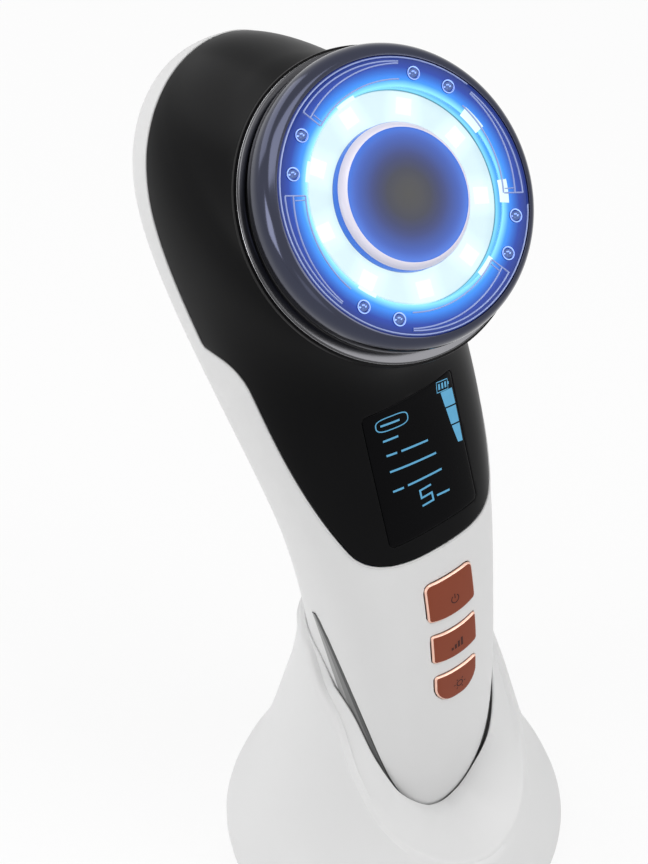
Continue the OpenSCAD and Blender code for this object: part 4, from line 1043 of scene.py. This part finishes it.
class DEVICE_OT_ring(bpy.types.Operator):
    """Build the bezel, trim, lens with its raised lines, lit ring, electrodes and plate"""

    bl_idname = "device.ring"
    bl_label = "Light ring"

    def execute(self, context):
        self.bezel()
        trim = [(27.7, 9.58), (29.9, 9.58)] + arc((29.9, 9.28), 0.3, 90, 0, 4) + arc((29.9, 9.0), 0.3, 0, -90, 4)
        trim += [(27.7, 8.7), (27.7, 9.58)]
        shown("trim_ring", lathe(trim), ["chrome"], "handpiece", ("collar_trim",))
        # thin bead of lighter chrome on the trim's rounded edge: painted highlight
        shown("trim_painted_highlight", lathe(arc((30.1, 9.3), 0.13, 0, 360, 12)), ["chrome_painted_highlight"], "handpiece")
        self.lens()
        guide = [(14.08, 2.42), (20.2, 2.42), (20.3, 2.55), (20.3, 4.2), (14.08, 4.2), (14.08, 2.42)]
        shown("glow_ring", lathe(guide), ["light_guide"], "handpiece", ("light_guide",))
        plate = [(0.001, -1.0), (4, -1.0), (8, -1.0), (11, -1.0), (12.4, -0.99), (12.7, -0.95), (13.1, -0.72),
                 (13.6, -0.05), (13.95, 0.55), (14.02, 0.7), (14.05, 2.4)]
        marks = [int(5 <= row < 8) for row in range(len(plate) - 1) for _ in range(RING_N)]
        shown("plate_face", lathe(plate), ["treatment_plate", "plate_bevel"], "handpiece", ("treatment_plate",),
              marks=marks, crease=50)
        self.domes()
        return {"FINISHED"}

    def bezel(self):
        """Domed bezel: its bore sits on the head's axis and its rim half a millimetre above it."""
        profile, shifts = [(24.62, 8.0), (24.62, 2.42), (26.38, 2.42), (26.4, 0.35), (26.43, 0.12)], [0] * 5
        for i in range(19):
            a = math.radians(90 * i / 18)
            profile.append((26.5 + 2.6 * math.sin(a), 4 * (1 - math.cos(a))))
            shifts.append(0.5 * math.sin(a) ** 0.5)
        for i in range(1, 13):
            a = math.radians(90 * i / 12)
            profile.append((28.3 + 0.8 * math.cos(a), 4 + 4 * math.sin(a)))
            shifts.append(0.5)
        shown("bezel_ring", lathe(profile, 192, shifts), ["bezel_chrome"], "handpiece", ("bezel",), crease=60)

    def lens(self):
        """Lens disc and its raised lines: each quarter has two arcs that run together and an inner one."""
        disc = [(14.11, 2.38), (14.11, 0.1), (14.25, 0.0), (17, 0.0), (20, 0.0), (23, 0.0), (25.7, 0.0),
                (26.1, 0.03), (26.3, 0.14), (26.36, 0.32), (26.36, 2.38), (14.11, 2.38)]
        shown("lens_disc", lathe(disc), ["clear_lens"], "handpiece", ("lens_ring",))
        w = mm(sizes().line_w)
        parts = []
        for start, end in ((64, 118), (208, 156), (243, 300), (387, 337)):
            for r0, r1 in ((25.25, 25.1), (24.9, 23.4), (21.9, 20.9)):
                parts.append(self.ridge(end, start, r1, r0, w))
            parts.append(self.ridge(end, end + 0.001, 21.0, 25.2, w))
            inner = end - 2.2 * np.sign(end - start)
            parts.append(self.ridge(inner, inner + 0.001, 21.2, 23.2, w * 0.8))
        parts.append(self.ridge(30, 332, 26.02, 26.02, 0.3, 90))
        shown("lens_lines", joined(parts), ["lens_line"], "handpiece")
        tabs = [self.ridge(start, end, r, r, 2 * (r - 20.0), 8, 0.03) for start, end, r in (
            (12, 25, 21.1), (332, 344, 21.0), (289, 301, 20.5), (92, 104, 20.4), (138, 149, 20.4), (211, 222, 20.4))]
        shown("glow_tabs", joined(tabs), ["light_guide"], "handpiece")

    def ridge(self, a0, a1, r0, r1, w, n=28, high=0.34):
        """A half-round line on the lens between two angles and radii."""
        t = np.linspace(0, 1, n)
        a, r = np.radians(a0 + (a1 - a0) * t), r0 + (r1 - r0) * t
        x, y = r * np.cos(a), r * np.sin(a)
        side = beside(np.column_stack([np.gradient(x), np.gradient(y)]))
        rows = []
        for k in range(7):
            turn = math.pi * k / 6
            u, up = math.cos(turn) * w / 2, math.sin(turn) * high * min(1, w / 0.4)
            rows.append(at_head(x + side[:, 0] * u, y + side[:, 1] * u, np.full(n, -up)))
        points = np.array(rows).transpose(1, 0, 2).reshape(-1, 3)
        return points, net(n, 7, turn=False)

    def domes(self):
        """Eight electrode domes in pairs."""
        r = mm(sizes().dome_r)
        parts = []
        profile = [(1, 0.1), (1, -0.16), (0.95, -0.24), (0.82, -0.26), (0.74, -0.22),
                   (0.68, -0.34), (0.55, -0.62), (0.38, -0.82), (0.2, -0.92), (0.05, -0.95)]
        for k in range(4):
            for side in (-1, 1):
                place = math.radians(45 + 1.9 + 90 * k + side * 9.3)
                x, y = 23.4 * math.cos(place), 23.4 * math.sin(place)
                parts.append(domed([head_ring(x, y, r * share, d, 32) for share, d in profile]))
        shown("electrode_caps", joined(parts), ["electrode_metal"], "handpiece", ("electrode_domes",), crease=40)


SYMBOL_W = 0.26  # width of the lines of the symbols


class DEVICE_OT_buttons(bpy.types.Operator):
    """Build the three bevelled buttons with their plain symbols"""

    bl_idname = "device.buttons"
    bl_label = "Buttons"

    def execute(self, context):
        up, bevel = mm(sizes().key_up), mm(sizes().key_bevel)
        skirt = [(-0.55, -2.6), (-0.4, -1.2), (-0.26, -0.5), (-0.1, -0.15), (0, up - 0.4), (-0.05, up - 0.26)]
        levels = skirt + [(-bevel + 0.05, up - 0.06), (-bevel, up - 0.02), (-bevel - 0.08, up)]
        for i, name in enumerate(("top", "middle", "low")):
            plane = KEYS[i]
            stack = [drape(plane, key_outline(i, grow), lift) for grow, lift in levels]
            inner = key_outline(i, levels[-1][0])
            stack += [drape(plane, flat, up) for flat in shrunk(inner, (0.86, 0.7, 0.5, 0.3, 0.06))]
            points, faces = domed(stack)
            bevelled = (len(skirt) + 1) * len(inner)
            marks = [int(f < bevelled) for f in range(len(faces))]
            shown("cap_" + name, (points, faces), ["button_metal", "button_bevel"], "key_" + name,
                  ("button_" + name,), marks=marks, crease=30)
            shown("symbol_" + name, self.symbol(i, up + 0.03), ["key_symbol"], "key_" + name)
        return {"FINISHED"}

    def symbol(self, i, lift):
        """Plain symbols: power, rising levels and a lamp."""
        plane = KEYS[i]
        if i == 0:
            t = np.radians(np.linspace(125, 415, 30))
            ring = np.column_stack([0.7 + 0.95 * np.cos(t), -0.2 + 0.95 * np.sin(t)])
            bar = np.array([[0.7, 1.05], [0.7, 0.5], [0.7, -0.1]])
            return joined([stroke(plane, ring, SYMBOL_W, lift), stroke(plane, bar, SYMBOL_W, lift)])
        if i == 1:
            return joined([sheet(plane, upright(x, -1.2, x + 0.55, -1.2 + h), lift, 3, 3)
                           for x, h in ((-1.3, 0.7), (-0.45, 1.2), (0.4, 1.7), (1.25, 2.2))])
        t = circle(28)
        ring = np.column_stack([0.6 + 0.75 * np.cos(t), 0.3 + 0.75 * np.sin(t)])
        ways = [(math.cos(d), math.sin(d)) for d in np.radians(np.arange(0, 360, 60))]
        rays = [stroke(plane, [0.6, 0.3] + np.multiply.outer((1.15, 1.4, 1.6), way), SYMBOL_W, lift) for way in ways]
        return joined([stroke(plane, ring, 0.28, lift, closed=True), *rays])


# bands 5 to 9, from the middle line to the rear edge, take the lighter copy of the strip metal: painted light
STRIP_BANDS = [0, 2, 2, 0, 0, 1, 1, 1, 1, 1]  # finish of each band across a strip


class DEVICE_OT_strips(bpy.types.Operator):
    """Build the two leaf-shaped metal strips along the grip's sides"""

    bl_idname = "device.strips"
    bl_label = "Side strips"

    def execute(self, context):
        lift = mm(sizes().strip_up)
        t, u = np.linspace(0.004, 1, 70), np.array([-1, -0.97, -0.82, -0.72, -0.3, 0, 0.1, 0.35, 0.7, 0.93, 1])
        for side, name in ((-1, "left"), (1, "right")):
            rows = []
            for v in u:
                high = lift * (1 - abs(v) ** 12) - 0.35 * (abs(v) > 0.99)
                rows.append([cast((60 * side, y, z), (-side, 0, 0), high) for y, z in strip_edge(t, v + 0 * t)])
            points = np.array(rows).reshape(-1, 3)
            faces = net(len(u), len(t), turn=False)
            faces = faces if side > 0 else [f[::-1] for f in faces]
            marks = [band for band in STRIP_BANDS for _ in t[1:]]
            shown("strip_" + name, (points, faces), ["side_strip", "strip_painted_light", "strip_edge"], "handpiece",
                  ("side_strip_" + name,), marks=marks, crease=40)
        return {"FINISHED"}


# Stand

BASE_R, MOUTH_R, BELL_TOP = 37.66, 20.6, 80.0
BELL = [0.902, 1, 0.873, 0.653, 0.483, 0.358, 0.243, 0.133, 0.058, 0.009, 0]
LIP_LINE = [0, 0.03, 0.111, 0.25, 0.467, 0.714, 0.829, 0.95, 0.99, 1, 1, 1, 1]
LIP_FRONT, LIP_BACK, FLOOR_Z = 22.8, 72.5, 14.7
STAND_WALL, BLEND = 1.2, 24  # the higher the power BLEND, the sharper the bell meets the cradle's wall
INLET_Z, INLET_SIZE = 9.2, (9.7, 3.9, 1.9)


def bell_r(z):
    return MOUTH_R + (BASE_R - MOUTH_R) * along(BELL, np.minimum(z / BELL_TOP, 1) * 10)


def from_front(a):
    """Degrees from the front, the same on both sides."""
    return np.degrees(np.where(a > np.pi, 2 * np.pi - a, a))


def lip_z(a):
    return LIP_FRONT + (LIP_BACK - LIP_FRONT) * along(LIP_LINE, from_front(a) / 15)


def gap_at(z):
    return 0.7 - 0.3 * np.clip((z - FLOOR_Z) / (LIP_BACK - FLOOR_Z), 0, 1)


def snug(a):
    """Share of the solids' gap that is left at an angle from the front, small at the front and the back.

    From 97 degrees on, between 35 and 72 mm up, the grip's eased skin cuts into the cradle by up to 0.25 mm.
    """
    rise, fall = (np.clip((from_front(a) - start) / 14, 0, 1) for start in (32, 86))
    return 0.08 + 0.66 * rise * rise * (3 - 2 * rise) * (1 - fall * fall * (3 - 2 * fall))


def cradle(a, z, grow):
    """Points of the cradle's wall at angles from the front, grown from the grip."""
    row = along(STATIONS, station_at(np.maximum(z, FOOT_Z + 0.01)))
    w, d, p = row[:, 4] + grow, (row[:, 2] - row[:, 0]) / 2 + grow, row[:, 5]
    r = (np.abs(np.sin(a) / w) ** p + np.abs(np.cos(a) / d) ** p) ** (-1 / p)
    return np.column_stack([r * np.sin(a), (row[:, 0] + row[:, 2]) / 2 - r * np.cos(a), z])


def bell(a, z, shrink=0.0):
    """Points of the stand's outer skin."""
    c = cradle(a, z, gap_at(z) + STAND_WALL)
    own = np.where(z > LIP_FRONT, np.hypot(c[:, 0], c[:, 1]), 1e-3)
    r = (bell_r(z) ** BLEND + own**BLEND) ** (1 / BLEND) - shrink
    return np.column_stack([r * np.sin(a), -r * np.cos(a), z])


class DEVICE_OT_stand(bpy.types.Operator):
    """Build the bell-shaped stand with its swept lip and the cradle inside it"""

    bl_idname = "device.stand"
    bl_label = "Stand"

    def execute(self, context):
        n = 168
        a = circle(n)
        zo = lip_z(a)
        zi = zo + 3 * np.maximum(0, np.cos(a)) ** 0.5
        full = np.full(n, 1.0)
        rings = shrunk(cradle(a, FLOOR_Z * full, 0.7), (0.05, 0.5, 0.9, 0.98))
        for t in (0.01, 0.05, 0.12, 0.22, 0.35, 0.5, 0.65, 0.82, 0.93, 1):
            z = FLOOR_Z + (zi - 1.0 - FLOOR_Z) * t
            rings.append(cradle(a, z, gap_at(z) * snug(a)))
        inner = [self.at(cradle(a, zi, gap_at(zi) * snug(a) + g), zi - down)
                 for g, down in ((0.02, 0.34), (0.12, 0.12), (0.4, 0.03))]
        outer = [self.at(bell(a, zo, s), zo - down) for s, down in
                 ((1.7, 0.0), (1.0, 0.12), (0.55, 0.32), (0.22, 0.66), (0.05, 1.1))]
        rings += inner
        rings += [inner[-1] + (outer[0] - inner[-1]) * k + [0, 0, 0.5 * k * (1 - k)] for k in (0.25, 0.5, 0.75)]
        rings += outer
        low = 0.8
        for t in np.concatenate([[0, 0.04, 0.09], np.linspace(0.15, 0.96, 22), [0.985]]):
            z = zo - 1.6 + (low - zo + 1.6) * t
            rings.append(bell(a, z))
        rings += [bell(a, low * full + 0.1, 0.08), bell(a, low * full, 0.3), bell(a, low * full, 2.4),
                  bell(a, low * full + 3, 2.5)]
        points = np.vstack(rings)
        faces = net(len(rings), n)
        faces.append(list(range(n))[::-1])
        x, y, z = points.T
        inlet = distance(round_rect(*INLET_SIZE), np.column_stack([x, z - INLET_Z]))
        points, faces = trimmed(points, faces, np.where(y > 22, inlet, 5.0))
        shown("stand_skin", (points, [f[::-1] for f in faces]), ["stand_plastic"], "stand", ("stand_shell",), crease=38)
        return {"FINISHED"}

    def at(self, ring, z):
        ring = ring.copy()
        ring[:, 2] = z
        return ring


# Stage


class DEVICE_OT_stage(bpy.types.Operator):
    """Set the camera, the pale floor and the soft studio light"""

    bl_idname = "device.stage"
    bl_label = "Stage"

    def execute(self, context):
        scene = context.scene
        scene.view_settings.view_transform = "Standard"
        camera = bpy.data.objects.new("studio_camera", bpy.data.cameras.new("studio_camera"))
        camera.data.lens, camera.data.sensor_width = 125, 36
        camera.data.clip_start, camera.data.clip_end = 0.05, 20
        right, up, back = (0.7721, -0.6355, 0), (0.4412, 0.5360, 0.7197), (-0.4574, -0.5557, 0.6942)
        turn = Matrix((right, up, back)).transposed().to_4x4()
        camera.matrix_world = Matrix.Translation(Vector((-0.28412, -0.32051, 0.53789))) @ turn
        scene.collection.objects.link(camera)
        scene.camera = camera
        self.floor(scene)
        self.world(scene)
        for name, place, aim, size, power in (
            ("top", (-0.10, -0.15, 1.20), (0, 0, 0.10), (1.2, 0.6), 6.0),
            ("back", (-0.25, 1.30, 0.75), (0, 0, 0.15), (1.3, 0.8), 5.7),
            ("left", (-1.00, 0.16, 0.42), (0, 0, 0.17), (0.4, 0.55), 2.9),
            ("side", (-0.95, -0.85, 0.25), (0, 0, 0.12), (0.5, 0.5), 0.5),
            ("front", (0.50, -1.00, 0.80), (0, 0, 0.05), (0.9, 0.6), 5.6),
        ):
            self.lamp(scene, name, place, aim, size, power)
        return {"FINISHED"}

    def lamp(self, scene, name, place, aim, size, power):
        light = bpy.data.lights.new(name + "_light", "AREA")
        light.shape, light.size, light.size_y = "RECTANGLE", *size
        light.energy = power
        obj = bpy.data.objects.new(name + "_light", light)
        way = Vector(aim) - Vector(place)
        obj.matrix_world = Matrix.Translation(Vector(place)) @ way.to_track_quat("-Z", "Y").to_matrix().to_4x4()
        scene.collection.objects.link(obj)

    def floor(self, scene):
        a = circle(96)
        rings = [np.column_stack([r * np.cos(a), r * np.sin(a), 0 * a - 0.02]) for r in (3500, 1200, 400, 120, 1)]
        points, faces = domed(rings)
        paint = Paint("studio_floor", (0.9, 0.9, 0.9), 0.8, level=0.1)
        white = paint.node("ShaderNodeEmission", {}, {"Color": (1, 1, 1, 1), "Strength": 1.0})
        paint.whitened(paint.shader, white, "Material Output", 0.86)
        mesh = bpy.data.meshes.new("studio_floor")
        mesh.from_pydata((points * MM).tolist(), [], faces)
        mesh.materials.append(paint.material)
        obj = bpy.data.objects.new("studio_floor", mesh)
        scene.collection.objects.link(obj)

    def world(self, scene):
        world = bpy.data.worlds.new("studio_world")
        scene.world = world
        world.use_nodes = True
        board = Board(world.node_tree)
        ground = board.tree.nodes["Background"]
        ground.inputs["Color"].default_value = (1.0, 1.0, 1.0, 1)
        ground.inputs["Strength"].default_value = 0.3
        white = board.node("ShaderNodeBackground", {}, {"Color": (1.0, 1.0, 1.0, 1), "Strength": 1.0})
        board.whitened(ground, white, "World Output")


OPERATORS = (
    DEVICE_OT_finishes, DEVICE_OT_shells, DEVICE_OT_cover, DEVICE_OT_display, DEVICE_OT_ring,
    DEVICE_OT_buttons, DEVICE_OT_strips, DEVICE_OT_stand, DEVICE_OT_stage,
)


class DEVICE_PT_build(bpy.types.Panel):
    """Sizes, colours and build steps of the device"""

    bl_idname = "DEVICE_PT_build"
    bl_label = "Facial care device"
    bl_space_type = "VIEW_3D"
    bl_region_type = "UI"
    bl_category = "Device"

    def draw(self, context):
        for group in (context.scene.device_sizes, context.scene.device_colours):
            box = self.layout.box()
            for key in group.__annotations__:
                box.prop(group, key)
        for operator in OPERATORS:
            self.layout.operator(operator.bl_idname)


CLASSES = (DeviceSizes, DeviceColours, *OPERATORS, DEVICE_PT_build)


def register():
    for item in CLASSES:
        bpy.utils.register_class(item)
    bpy.types.Scene.device_sizes = PointerProperty(type=DeviceSizes)
    bpy.types.Scene.device_colours = PointerProperty(type=DeviceColours)


def unregister():
    del bpy.types.Scene.device_colours
    del bpy.types.Scene.device_sizes
    for item in reversed(CLASSES):
        bpy.utils.unregister_class(item)


def main():
    register()
    bpy.ops.device.finishes()
    bpy.ops.device.shells()
    bpy.ops.device.cover()
    bpy.ops.device.display()
    bpy.ops.device.ring()
    bpy.ops.device.buttons()
    bpy.ops.device.strips()
    bpy.ops.device.stand()
    bpy.ops.device.stage()


if __name__ == "__main__":
    main()
